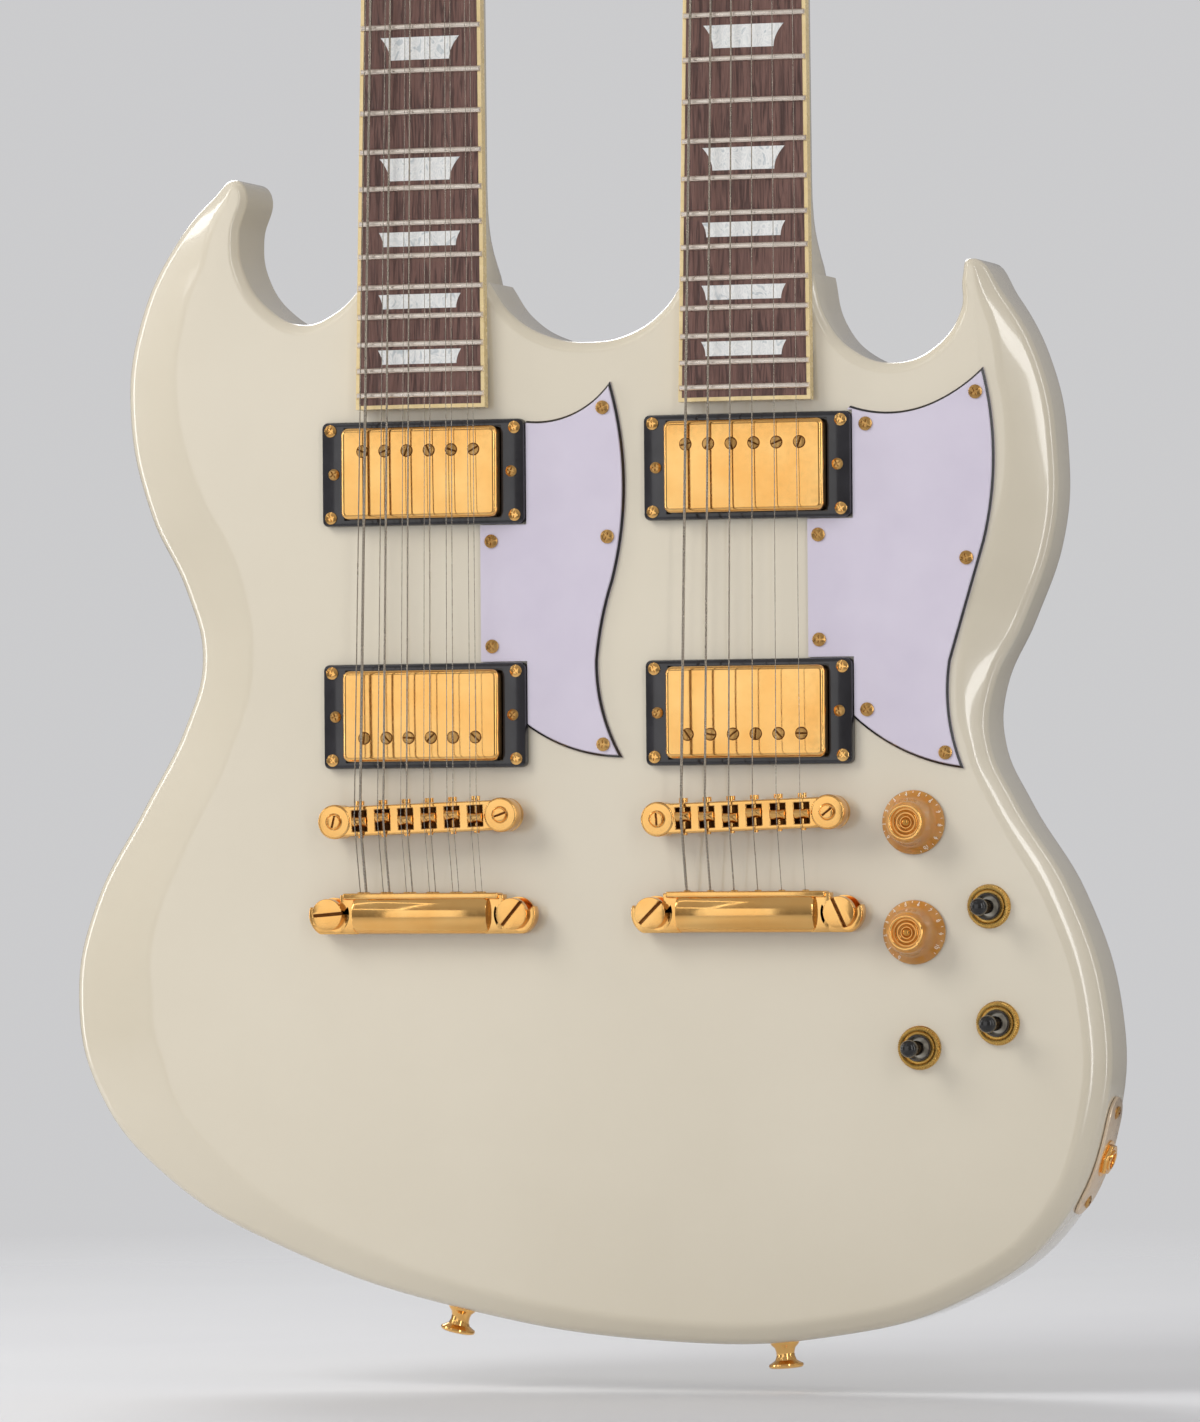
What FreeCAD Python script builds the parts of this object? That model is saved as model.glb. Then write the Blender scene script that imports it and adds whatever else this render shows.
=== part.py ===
import FreeCAD, Part
import math
import os
import re

# Double-neck electric guitar, twelve strings on the left neck and six on the right.
# Millimetres and degrees. X runs across the body, +Z along the necks, and the front faces -Y.
# The origin lies on the flat back, midway between the necks, level with the scale line at the bridges.

# Driving dimensions: name, value, meaning
SIZES = [
    ("body_thickness", 38, "front face to back face"),
    ("body_half_width", 230, "outline shares across the body count from this"),
    ("body_half_length", 250, "outline shares along the body count from this"),
    ("bevel_width", 26, "widest part of the soft front bevel"),
    ("bevel_depth", 8, "depth of the bevel at its widest part"),
    ("outline_step", 36, "longest straight run of the outline's facets"),
    ("neck_spacing", 143, "centre line to centre line of the two necks"),
    ("scale_length", 628, "nut to the scale line"),
    ("neck_angle", 1.46, "lean of each neck towards the back"),
    ("board_rise", 12.1, "fretboard plane above the body's front, at the scale line"),
    ("board_width_nut", 46.4, "fretboard width at the nut"),
    ("board_width_end", 57.6, "fretboard width at its body end"),
    ("board_thickness", 6, "fretboard thickness"),
    ("board_radius", 305, "radius of the fretboard's face"),
    ("board_overhang", 5.8, "fretboard past the last fret"),
    ("binding_width", 1.6, "fretboard binding"),
    ("fret_width", 2.6, "fret across its foot"),
    ("fret_crown_width", 1.2, "fret across its crown"),
    ("fret_height", 1.1, "fret above the board"),
    ("inlay_depth", 1.4, "pearl inlay let into the board"),
    ("nut_thickness", 4.5, "nut along the neck"),
    ("nut_rise", 2, "nut above the fretboard plane"),
    ("nut_slot_floor", 0.8, "bottom of the string slots above the fretboard plane"),
    ("nut_slot_width", 1.3, "string slot in the nut"),
    ("neck_depth", 15.5, "neck wood behind the fretboard at the nut"),
    ("neck_depth_heel", 17.5, "neck wood behind the fretboard above the heel"),
    ("tenon_depth", 20, "neck tongue let into the body, behind the fretboard"),
    ("heel_inset", 1.5, "edge of the body to the start of the heel"),
    ("heel_length", 42, "heel along the neck"),
    ("heel_depth", 34.5, "heel behind the fretboard where it meets the body"),
    ("joint_gap", 0.1, "glue line round the neck tongue"),
    ("head_angle", 14, "headstock lean behind the neck"),
    ("head_drop", 2.5, "headstock face behind the fretboard plane at the nut"),
    ("head_thickness", 14.5, "headstock plate"),
    ("head_half_width", 38.5, "half width of the headstock at its widest"),
    ("head_length_twelve", 212, "headstock of the twelve-string neck"),
    ("head_length_six", 172, "headstock of the six-string neck"),
    ("peg_first", 38, "first tuner from the nut"),
    ("peg_pitch_twelve", 28.5, "tuner pitch, twelve strings"),
    ("peg_pitch_six", 44, "tuner pitch, six strings"),
    ("peg_offset", 25, "tuner post from the headstock's centre line"),
    ("peg_radius", 3, "tuner post"),
    ("peg_rise", 15, "tuner post in front of the headstock"),
    ("peg_clearance", 0.15, "hole round a tuner post"),
    ("tuner_width", 15, "tuner housing across and along"),
    ("tuner_depth", 10, "tuner housing behind the headstock"),
    ("worm_radius", 1.8, "worm shaft of a tuner button"),
    ("worm_reach", 5, "worm shaft inside its housing"),
    ("worm_clearance", 0.08, "running clearance of the worm shaft"),
    ("button_gap", 9.5, "housing to tuner button"),
    ("button_length", 14, "tuner button along its shaft"),
    ("button_width", 16, "tuner button across its shaft"),
    ("button_thickness", 7, "tuner button thickness"),
    ("truss_cover_length", 42, "truss rod cover"),
    ("truss_cover_width", 22, "truss rod cover at its foot"),
    ("truss_cover_tip", 10, "truss rod cover at its tip"),
    ("truss_cover_thickness", 2, "truss rod cover"),
    ("truss_cover_gap", 2, "truss rod cover to nut"),
    ("string_gauge", 0.6, "radius of the thickest string"),
    ("string_spread_nut", 38, "outer string to outer string at the nut"),
    ("string_spread_bridge", 51.6, "outer string to outer string at the bridge"),
    ("course_gap_nut", 1.9, "strings of one course at the nut"),
    ("course_gap_bridge", 2.7, "strings of one course at the bridge"),
    ("string_rise_bridge", 17.6, "strings above the body's front at the saddles"),
    ("string_rise_post", 6, "strings above the headstock at the tuner posts"),
    ("neck_pickup_gap", 5.13, "fretboard's end to the ring of a neck pickup"),
    ("bridge_pickup_line", 40.2, "centre of the bridge pickups above the scale line"),
    ("ring_width", 90.2, "pickup ring across"),
    ("ring_length", 44.4, "pickup ring along the strings"),
    ("ring_height", 4, "pickup ring above the body"),
    ("ring_corner", 3, "corner radius of a pickup ring"),
    ("cover_width", 69.5, "pickup cover across"),
    ("cover_length", 38.5, "pickup cover along the strings"),
    ("cover_rise", 10, "pickup cover above the body"),
    ("cover_height", 16, "pickup cover from its face to its lower edge"),
    ("cover_wall", 0.8, "sheet of the pickup cover"),
    ("cover_corner", 1.2, "cut edge of a pickup cover"),
    ("cover_clearance", 0.4, "ring to cover"),
    ("pole_pitch", 9.9, "pole screw pitch"),
    ("pole_offset", 9.3, "pole screws from the pickup's centre"),
    ("pole_radius", 2.3, "pole screw head"),
    ("pole_rise", 0.6, "pole screw above the cover"),
    ("pole_clearance", 0.1, "hole round a pole screw"),
    ("coil_gap", 0.5, "coils to cover"),
    ("cavity_gap", 1.2, "pickup cavity round the cover"),
    ("pickup_ear_reach", 42, "base plate ears from the pickup's centre"),
    ("pickup_ear_length", 12, "base plate ear along the strings"),
    ("base_plate", 1.5, "pickup base plate"),
    ("spring_gap", 4, "base plate to the cavity's floor"),
    ("screw_clearance", 0.1, "hole round a screw"),
    ("guard_thickness", 2.2, "pickguard sheet"),
    ("guard_gap", 0.4, "pickguard to pickup ring"),
    ("guard_edge_left", 25, "inner pickguard edge from the centre of the twelve-string neck"),
    ("guard_edge_right", 25.8, "inner pickguard edge from the centre of the six-string neck"),
    ("guard_reach_left", 88.8, "furthest pickguard edge from the centre of the twelve-string neck"),
    ("guard_reach_right", 106.5, "furthest pickguard edge from the centre of the six-string neck"),
    ("bridge_line", -3.2, "bridge centre from the scale line"),
    ("bridge_slant", 1.9, "bridge turned so that the bass side lies further back"),
    ("post_spacing", 74, "bridge post to bridge post"),
    ("bridge_underside", 7.2, "bridge above the body"),
    ("bridge_height", 8.2, "bridge end lobes"),
    ("bridge_bar_height", 7.2, "bridge bar between the lobes"),
    ("bridge_bar_width", 13, "bridge bar along the strings"),
    ("bridge_lobe_radius", 7.9, "round ends of the bridge"),
    ("channel_length", 63.6, "saddle channel"),
    ("channel_width", 8.6, "saddle channel along the strings"),
    ("channel_floor", 2, "metal under the saddle channel"),
    ("saddle_width", 7.4, "saddle across"),
    ("saddle_clearance", 0.15, "saddle to the channel's walls"),
    ("saddle_ridge", 0.8, "flat under the string on a saddle"),
    ("string_seat_gap", 0.1, "string to saddle"),
    ("string_tuck", 1.5, "string inside the tailpiece's hole"),
    ("post_radius", 4, "bridge post"),
    ("post_length", 18, "bridge post or tailpiece stud in the wood"),
    ("post_clearance", 0.1, "bridge round its posts"),
    ("wheel_radius", 7.2, "height wheel under the bridge"),
    ("wheel_height", 2.4, "height wheel under the bridge"),
    ("tail_line", -43.7, "tailpiece centre from the scale line"),
    ("stud_spacing", 82, "tailpiece stud to tailpiece stud"),
    ("tail_length", 63, "bar of the tailpiece between its hooks"),
    ("tail_width", 16.6, "tailpiece along the strings"),
    ("tail_underside", 3.4, "tailpiece above the body"),
    ("tail_height", 10.6, "tailpiece bar"),
    ("hook_radius", 9.6, "hooked end of the tailpiece"),
    ("hook_height", 6.2, "hooked end of the tailpiece"),
    ("hook_slot", 9, "mouth of the hook round its stud"),
    ("tail_hole_radius", 1.3, "string hole through the tailpiece"),
    ("tail_hole_rise", 5.6, "string hole above the tailpiece's underside"),
    ("stud_rim", 0.8, "rim under the hook"),
    ("stud_head_radius", 6.6, "slotted stud head"),
    ("stud_head_height", 4.4, "slotted stud head"),
    ("stud_rim_radius", 7.6, "rim under the hook"),
    ("stud_clearance", 0.2, "hook round its stud"),
    ("knob_across", 141.8, "knobs from the body's middle"),
    ("volume_line", -6.6, "volume knob from the scale line"),
    ("tone_line", -52.3, "tone knob from the scale line"),
    ("knob_radius", 13.4, "skirt of a knob"),
    ("knob_skirt", 3, "height of the skirt"),
    ("knob_waist_radius", 10.6, "foot of the knob's bell"),
    ("knob_top_radius", 8, "top of the knob's bell"),
    ("knob_height", 14.5, "knob from foot to top"),
    ("knob_lift", 0.6, "knob above the body"),
    ("knob_recess_radius", 6, "recess under the knob"),
    ("knob_recess_depth", 4, "recess under the knob"),
    ("shaft_radius", 3, "control shaft"),
    ("shaft_seat", 8, "control shaft inside its knob"),
    ("shaft_clearance", 0.05, "control shaft in its bushing"),
    ("pot_radius", 12, "potentiometer case"),
    ("pot_depth", 9, "potentiometer case"),
    ("pot_bushing_radius", 4.7, "potentiometer bushing"),
    ("pot_bushing_rise", 2.6, "potentiometer bushing above the body"),
    ("control_top", 6, "wood left over the controls"),
    ("control_left", 123, "control cavity, inner side from the body's middle"),
    ("control_step", 160, "control cavity, end of its upper arm from the body's middle"),
    ("control_right", 191, "control cavity, outer side from the body's middle"),
    ("control_head", 12, "control cavity, upper end"),
    ("control_shoulder", -26, "control cavity, upper end of its wide part"),
    ("control_foot", -118, "control cavity, lower end"),
    ("control_corner", 9, "corner radius of the control cavity"),
    ("panel_lip", 6, "ledge for the control cover"),
    ("panel_thickness", 2.4, "control cover"),
    ("panel_gap", 0.3, "control cover in its recess"),
    ("switch_high_across", 173.8, "upper switch from the body's middle"),
    ("switch_high_line", -41.7, "upper switch from the scale line"),
    ("switch_low_across", 177.2, "lower switch from the body's middle"),
    ("switch_low_line", -90.1, "lower switch from the scale line"),
    ("switch_inner_across", 143.5, "inner switch from the body's middle"),
    ("switch_inner_line", -100.3, "inner switch from the scale line"),
    ("switch_nut_radius", 9.2, "knurled switch nut"),
    ("switch_nut_height", 3.2, "knurled switch nut"),
    ("switch_sleeve_radius", 6, "threaded sleeve of a switch"),
    ("switch_bore_radius", 4.7, "opening of a switch sleeve"),
    ("switch_case_width", 17, "switch case"),
    ("switch_case_depth", 14, "switch case"),
    ("lever_reach", 25, "switch lever from its pivot"),
    ("lever_sink", 5, "lever pivot below the body's front"),
    ("lever_foot_radius", 1.5, "switch lever at its pivot"),
    ("lever_tip_radius", 3.1, "switch lever at its tip"),
    ("sleeve_clearance", 0.1, "hole round a switch sleeve or bushing"),
    ("plate_length", 52, "jack plate along the wall"),
    ("plate_width", 20, "jack plate across the wall"),
    ("plate_thickness", 1.6, "jack plate"),
    ("plate_corner", 6, "cut corner of the jack plate"),
    ("plate_gap", 0.3, "wall to jack plate"),
    ("jack_bore_radius", 3.25, "plug bore of the jack"),
    ("jack_barrel_radius", 4.6, "threaded barrel of the jack"),
    ("jack_barrel_length", 14, "jack barrel"),
    ("jack_nut_radius", 7.2, "jack nut, corner to corner"),
    ("jack_nut_height", 2.2, "jack nut"),
    ("jack_well_radius", 10, "well behind the jack plate"),
    ("jack_well_depth", 34, "well behind the jack plate"),
    ("strap_radius", 7.4, "strap button flange"),
    ("strap_foot_radius", 6, "strap button at the wall"),
    ("strap_neck_radius", 4, "strap button waist"),
    ("strap_height", 11.5, "strap button from the wall"),
    ("strap_flange", 2.2, "strap button flange"),
    ("strap_shank", 2.2, "strap button screw"),
    ("strap_shank_length", 22, "strap button screw in the wood"),
    ("overrun", 2, "how far a cut runs past a face"),
]

# Body outline, clockwise from the front, starting at the left neck's outer side.
# Each row: neck that it follows (-1 left, 0 none, 1 right), share across, share along, bevel share.
HORN_AND_BODY_SHARES = [
    (-1, -0.124, 0.894, 0.10), (-1, -0.177, 0.851, 0.13), (-1, -0.243, 0.831, 0.15),
    (-1, -0.311, 0.861, 0.15), (-1, -0.359, 0.926, 0.14), (-1, -0.367, 0.988, 0.12),
    (-1, -0.352, 1.064, 0.10), (-1, -0.374, 1.082, 0.12), (0, -0.730, 1.056, 0.30),
    (0, -0.813, 0.976, 0.70), (0, -0.887, 0.836, 0.85), (0, -0.907, 0.688, 0.95),
    (0, -0.867, 0.512, 1.05), (0, -0.800, 0.384, 1.10), (0, -0.767, 0.264, 1.00),
    (0, -0.802, 0.148, 1.00), (0, -0.883, 0.012, 1.05), (0, -0.983, -0.152, 1.25),
    (0, -1.021, -0.312, 1.45), (0, -0.980, -0.480, 1.40), (0, -0.839, -0.628, 1.00),
    (0, -0.600, -0.748, 0.60), (0, -0.252, -0.846, 0.40), (0, 0.130, -0.895, 0.32),
    (0, 0.435, -0.886, 0.30), (0, 0.696, -0.820, 0.30), (0, 0.874, -0.698, 0.30),
    (0, 0.961, -0.512, 0.32), (0, 0.967, -0.340, 0.34), (0, 0.902, -0.146, 0.34),
    (0, 0.800, 0.008, 0.30), (0, 0.752, 0.108, 0.28), (0, 0.759, 0.200, 0.50),
    (0, 0.815, 0.310, 0.82), (0, 0.870, 0.452, 0.85), (0, 0.878, 0.592, 0.70),
    (0, 0.850, 0.736, 0.62), (0, 0.783, 0.854, 0.35), (1, 0.414, 0.910, 0.12),
    (1, 0.402, 0.884, 0.12), (1, 0.397, 0.826, 0.13), (1, 0.348, 0.766, 0.15),
    (1, 0.274, 0.741, 0.15), (1, 0.198, 0.761, 0.15), (1, 0.143, 0.818, 0.13),
    (1, 0.122, 0.894, 0.10),
]

# Middle cutaway, from the right neck's inner side to the left neck's inner side
MIDDLE_CUTAWAY_SHARES = [
    (1, -0.122, 0.894, 0.10), (0, 0.148, 0.842, 0.13), (0, 0.083, 0.802, 0.15),
    (0, 0.000, 0.789, 0.15), (0, -0.083, 0.803, 0.15), (0, -0.148, 0.841, 0.13),
    (-1, 0.122, 0.894, 0.10),
]

# Bevel profile from the flat front to the wall: share of the width left, share of the depth reached
FRONT_BEVEL_SHARES = [(1.0, 0.0), (0.0, 1.0)]
BACK_BEVEL_SHARES = [(0.0, 1.0), (1.0, 0.0)]

# Where the necks leave the body, as a share of its half length.
NECK_ROOT_SHARE = 0.894

# Jack on the right wall: across, along, and how far the wall runs across for each step along.
JACK_SHARES = (0.94022, -0.58412, 0.3764)

# Strap buttons on the butt: across, along, and how far the butt rises for each step across.
STRAP_SHARES = {"left": (-0.277, -0.8416, -0.2132), "right": (0.3413, -0.8952, 0.0611)}
BACK_BEVEL_SHARE = 0.75

# Back of the neck from one side to the middle: share of the half width, share of the depth
NECK_BACK_SHARES = [(0.97, 0.30), (0.80, 0.66), (0.46, 0.92), (0.0, 1.0)]
HEEL_BACK_SHARES = [(0.99, 0.45), (0.96, 0.78), (0.62, 0.98), (0.0, 1.0)]

# Heel from the body upwards: share of its length, share of its extra depth, share of its squareness
HEEL_SHARES = [(0.0, 1.0, 1.0), (0.17, 0.88, 0.9), (0.38, 0.45, 0.6), (0.62, 0.12, 0.25), (1.0, 0.0, 0.0)]

# Right side of the headstock from the nut up: share of the half width, share of the length
HEADSTOCK_SHARES = [(0.62, 0.0), (0.68, 0.05), (0.80, 0.11), (0.93, 0.165), (1.0, 0.23), (1.0, 0.45), (0.96, 0.83)]

# Tuner button, from the shaft outwards: share of the length, share of the half width
BUTTON_SHARES = [(0.0, 0.3), (0.42, 0.92), (0.8, 1.0), (1.0, 0.6)]

# Bar of the tailpiece from its back to its front: share of the half width, share of the height
TAIL_BAR_SHARES = [(1.0, 0.0), (1.0, 0.62), (0.84, 0.84), (0.5, 0.97), (0.0, 1.0)]

# Pickguards: share of the reach from the neck's centre, share of the way between the pickup lines
LEFT_GUARD_TOP_SHARES = [(0.505, 1.207), (0.749, 1.235), (0.929, 1.359)]
LEFT_GUARD_SIDE_SHARES = [(0.929, 1.359), (1.0, 0.912), (0.939, 0.544), (0.884, 0.367), (0.859, 0.219),
                          (0.883, 0.027), (0.979, -0.180)]
LEFT_GUARD_FOOT_SHARES = [(0.979, -0.180), (0.749, -0.150), (0.509, -0.049)]
RIGHT_GUARD_TOP_SHARES = [(0.419, 1.236), (0.561, 1.208), (0.744, 1.240), (0.866, 1.306), (0.955, 1.380)]
RIGHT_GUARD_SIDE_SHARES = [(0.955, 1.380), (0.999, 1.018), (0.957, 0.678), (0.884, 0.435), (0.816, 0.197),
                           (0.811, -0.021), (0.865, -0.239)]
RIGHT_GUARD_FOOT_SHARES = [(0.865, -0.239), (0.653, -0.181), (0.418, -0.024)]

FRET_COUNT = 22
INLAY_FRETS = [3, 5, 7, 9, 12, 15, 17, 19, 21]
INLAY_WIDE_SHARE = 0.66
INLAY_NARROW_SHARE = 0.50
INLAY_LENGTH_SHARE = 0.62
COURSES = 6
STRING_SHARES = [1.0, 0.78, 0.56, 0.38, 0.28, 0.22]
OCTAVE_SHARES = [0.42, 0.32, 0.24, 0.22, 0.28, 0.22]
BOARD_SHARES = [-1.0, 0.0, 1.0]
FOUR_SIDES = 4
SIX_SIDES = 6
EIGHT_SIDES = 8
TWELVE_SIDES = 12
TWENTY_SIDES = 20
LEFT = -1
RIGHT = 1

doc = FreeCAD.newDocument("double_neck_guitar")
sheet = doc.addObject("Spreadsheet::Sheet", "sizes")
for row, (name, value, meaning) in enumerate(SIZES, start=1):
    sheet.set("A%d" % row, name)
    sheet.set("B%d" % row, str(value))
    sheet.setAlias("B%d" % row, name)
    sheet.set("C%d" % row, meaning)
doc.recompute()

NAMES = {name for name, value, meaning in SIZES}
nodes = []


def size(name):
    """Read one named size from the sheet."""
    return float(sheet.get(name))


def formula(text):
    """Point every named size in a formula at the sheet."""
    return re.sub(r"[a-z_]+", lambda word: ("sizes." if word.group() in NAMES else "") + word.group(), text)


def bind(piece, **formulas):
    """Bind properties of a piece to formulas in named sizes."""
    for prop, text in formulas.items():
        piece.setExpression(prop.replace("__", "."), formula(text))
    return piece


def move(piece, x="0", y="0", z="0"):
    """Bind the place of a piece to formulas in named sizes."""
    return bind(piece, Placement__Base__x=x, Placement__Base__y=y, Placement__Base__z=z)


def turn(piece, axis, angle):
    """Turn a piece about an axis by a bound angle."""
    piece.Placement = FreeCAD.Placement(FreeCAD.Vector(), FreeCAD.Rotation(FreeCAD.Vector(*axis), 1))
    return bind(piece, Placement__Rotation__Angle=angle)


def box(name, across, rise, along, x="0", y="0", z="0"):
    """Box centred on x and z that rises from y towards the front."""
    piece = doc.addObject("Part::Box", name)
    bind(piece, Length=across, Width=rise, Height=along)
    return move(piece, "%s - (%s) / 2" % (x, across), "%s - (%s)" % (y, rise), "%s - (%s) / 2" % (z, along))


def peg(name, radius, rise, x="0", y="0", z="0"):
    """Cylinder that rises from y towards the front."""
    piece = doc.addObject("Part::Cylinder", name)
    turn(piece, (1, 0, 0), "90")
    bind(piece, Radius=radius, Height=rise)
    return move(piece, x, y, z)


def flat_peg(name, sides, radius, rise, x="0", y="0", z="0"):
    """Many-sided peg that rises from y towards the front."""
    piece = doc.addObject("Part::Prism", name)
    piece.Polygon = sides
    turn(piece, (1, 0, 0), "90")
    bind(piece, Circumradius=radius, Height=rise)
    return move(piece, x, y, z)


def frustum(name, sides, rings):
    """Many-sided solid through level rings: each a radius and a height towards the front."""
    loops = []
    for radius, height in rings:
        angles = [2 * math.pi * (step + 0.5) / sides for step in range(sides)]
        loops.append([FreeCAD.Vector(math.cos(angle), 0, math.sin(angle)) * radius
                      - FreeCAD.Vector(0, height, 0) for angle in angles])
    faces = [Part.Face(Part.makePolygon(loop + loop[:1])) for loop in (loops[0], loops[-1])]
    for low, high in zip(loops[:-1], loops[1:]):
        for step in range(sides):
            after = (step + 1) % sides
            corners = [low[step], low[after], high[after], high[step]]
            faces.append(Part.Face(Part.makePolygon(corners + corners[:1])))
    solid = Part.Solid(Part.Shell(faces))
    if solid.Volume < 0:
        solid.reverse()
    return shaped(name, solid)


def taper(name, foot_width, head_width, foot, head, back, front):
    """Plate between two heights y whose width changes from its foot z to its head z."""
    piece = doc.addObject("Part::Wedge", name)
    turn(piece, (1, 0, 0), "90")
    bind(piece, Xmin="-(%s) / 2" % foot_width, Xmax="(%s) / 2" % foot_width)
    bind(piece, X2min="-(%s) / 2" % head_width, X2max="(%s) / 2" % head_width)
    bind(piece, Ymin=foot, Ymax=head)
    bind(piece, Zmin="-(%s)" % back, Z2min="-(%s)" % back, Zmax="-(%s)" % front, Z2max="-(%s)" % front)
    return piece


def fuse(name, pieces):
    """Join pieces into one solid."""
    piece = doc.addObject("Part::MultiFuse", name)
    piece.Shapes = pieces
    return piece


def cut(name, base, tools):
    """Take one or more tools away from a base."""
    piece = doc.addObject("Part::Cut", name)
    piece.Base = base
    piece.Tool = tools[0] if len(tools) == 1 else fuse(name + "_tools", tools)
    return piece


def common(name, base, tool):
    """Keep what two pieces share."""
    piece = doc.addObject("Part::Common", name)
    piece.Base = base
    piece.Tool = tool
    return piece


def group(name, pieces):
    """Hold separate solids together as one object."""
    piece = doc.addObject("Part::Compound", name)
    piece.Links = pieces
    return piece


def copy_of(name, base, x="0", y="0", z="0"):
    """Linked copy of a piece, moved from where the piece was drawn."""
    piece = doc.addObject("App::Link", name)
    piece.LinkedObject = base
    piece.LinkTransform = True
    return move(piece, x, y, z)


def shaped(name, shape):
    """Object whose shape comes from curves worked out from the sheet."""
    piece = doc.addObject("Part::Feature", name)
    piece.Shape = shape
    return piece


def eased(name, base, width, chosen):
    """Chamfer the edges of a base that a test picks."""
    doc.recompute()
    piece = doc.addObject("Part::Chamfer", name)
    piece.Base = base
    edges = enumerate(base.Shape.Edges, start=1)
    piece.Edges = [(number, width, width) for number, edge in edges if chosen(edge)]
    return piece


def keep(label, piece):
    """Name a finished sub-part and list it."""
    piece.Label = label
    nodes.append(piece)
    return piece


def runs_along(axis):
    """Test for straight edges that lie along one axis."""
    def chosen(edge):
        span = edge.BoundBox
        lengths = {"x": span.XLength, "y": span.YLength, "z": span.ZLength}
        longest = lengths.pop(axis)
        return longest > max(lengths.values()) and max(lengths.values()) < longest / size("scale_length")
    return chosen


def neck_middle(side):
    """Formula for the centre line of a neck."""
    return "%d * neck_spacing / 2" % side


def on_neck(piece, side):
    """Seat a piece that is drawn from the fretboard plane on its neck."""
    turn(piece, (-1, 0, 0), "neck_angle")
    return move(piece, neck_middle(side), "-(body_thickness + board_rise)")


def on_headstock(piece, side, across, along):
    """Seat a piece that is drawn from the headstock's face on its headstock."""
    turn(piece, (-1, 0, 0), "neck_angle + head_angle")
    root = "(scale_length + nut_thickness)"
    y = "-(body_thickness + board_rise) + head_drop * cos(neck_angle) + %s * sin(neck_angle)" % root
    z = "%s * cos(neck_angle) - head_drop * sin(neck_angle)" % root
    return move(piece, "%s + %s" % (neck_middle(side), across),
                "%s + (%s) * sin(neck_angle + head_angle)" % (y, along),
                "%s + (%s) * cos(neck_angle + head_angle)" % (z, along))


def arcs(points):
    """Edges of arcs, each through three points in turn."""
    return [Part.Arc(*points[first:first + 3]).toShape() for first in range(0, len(points) - 2, 2)]


def smooth_run(run):
    """Fill long gaps in a run of outline points from the smooth curve through them."""
    curve = Part.BSplineCurve()
    curve.interpolate([FreeCAD.Vector(x, 0, z) for x, z, bevel in run])
    filled = [run[0]]
    for before, after in zip(run, run[1:]):
        first = curve.parameter(FreeCAD.Vector(before[0], 0, before[1]))
        last = curve.parameter(FreeCAD.Vector(after[0], 0, after[1]))
        parts = math.ceil(curve.length(first, last) / size("outline_step"))
        for part in range(1, parts):
            share = part / parts
            place = curve.value(first + (last - first) * share)
            filled.append((place.x, place.z, before[2] + (after[2] - before[2]) * share))
        filled.append(after)
    return filled


def fret_line(number):
    """Formula for a fret's distance from the scale line."""
    return "scale_length * 2 ^ (-%d / 12)" % number


def fret_distance(number):
    """A fret's distance from the scale line."""
    return size("scale_length") * 2 ** (-number / 12)


def board_width(distance):
    """Formula for the fretboard's width at a distance from the scale line."""
    end = "(scale_length * 2 ^ (-%d / 12) - board_overhang)" % FRET_COUNT
    share = "((%s) - %s) / (scale_length - %s)" % (distance, end, end)
    return "board_width_end + (board_width_nut - board_width_end) * %s" % share


BOARD_END = "(%s - board_overhang)" % fret_line(FRET_COUNT)
HEEL_LINE = "(%g * body_half_length - heel_inset)" % NECK_ROOT_SHARE
NECK_PICKUP_LINE = "(%s - neck_pickup_gap - ring_length / 2)" % BOARD_END
PICKUP_LINES = {"neck": NECK_PICKUP_LINE, "bridge": "bridge_pickup_line"}


def board_end():
    """Distance of the fretboard's lower end from the scale line."""
    return fret_distance(FRET_COUNT) - size("board_overhang")


def neck_pickup_distance():
    """Distance of a neck pickup from the scale line."""
    return board_end() - size("neck_pickup_gap") - size("ring_length") / 2


def heel_distance():
    """Distance of the heel from the scale line."""
    return NECK_ROOT_SHARE * size("body_half_length") - size("heel_inset")


def outline_points():
    """Points of the body outline in the plane of the front, each with its bevel share."""
    loop = []
    for table in (HORN_AND_BODY_SHARES, MIDDLE_CUTAWAY_SHARES):
        run = []
        for neck, across, along, bevel in table:
            x = neck * size("neck_spacing") / 2 + across * size("body_half_width")
            run.append((x, along * size("body_half_length"), bevel))
        loop += smooth_run(run)
    return loop


def body_ring(width_share, depth_share, from_front):
    """One closed ring of the body, set in from the outline and back from a face."""
    loop = outline_points()
    face_y = -size("body_thickness") if from_front else 0.0
    share = 1 if from_front else -BACK_BEVEL_SHARE
    moved = []
    for index, (x, z, bevel) in enumerate(loop):
        before = loop[index - 1]
        after = loop[(index + 1) % len(loop)]
        along = FreeCAD.Vector(after[0] - before[0], 0, after[1] - before[1]).normalize()
        inward = FreeCAD.Vector(-along.z, 0, along.x)
        inset = width_share * bevel * size("bevel_width") * abs(share)
        depth = depth_share * math.sqrt(bevel) * size("bevel_depth") * share
        moved.append(FreeCAD.Vector(x, face_y + depth, z) + inward * inset)
    return Part.makePolygon(moved + moved[:1])


def make_body_blank():
    """Horned slab with its front and back bevels, before any cut."""
    rings = [body_ring(width, depth, True) for width, depth in FRONT_BEVEL_SHARES]
    rings += [body_ring(width, depth, False) for width, depth in BACK_BEVEL_SHARES]
    return shaped("body_blank", Part.makeLoft(rings, True, True))


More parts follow.
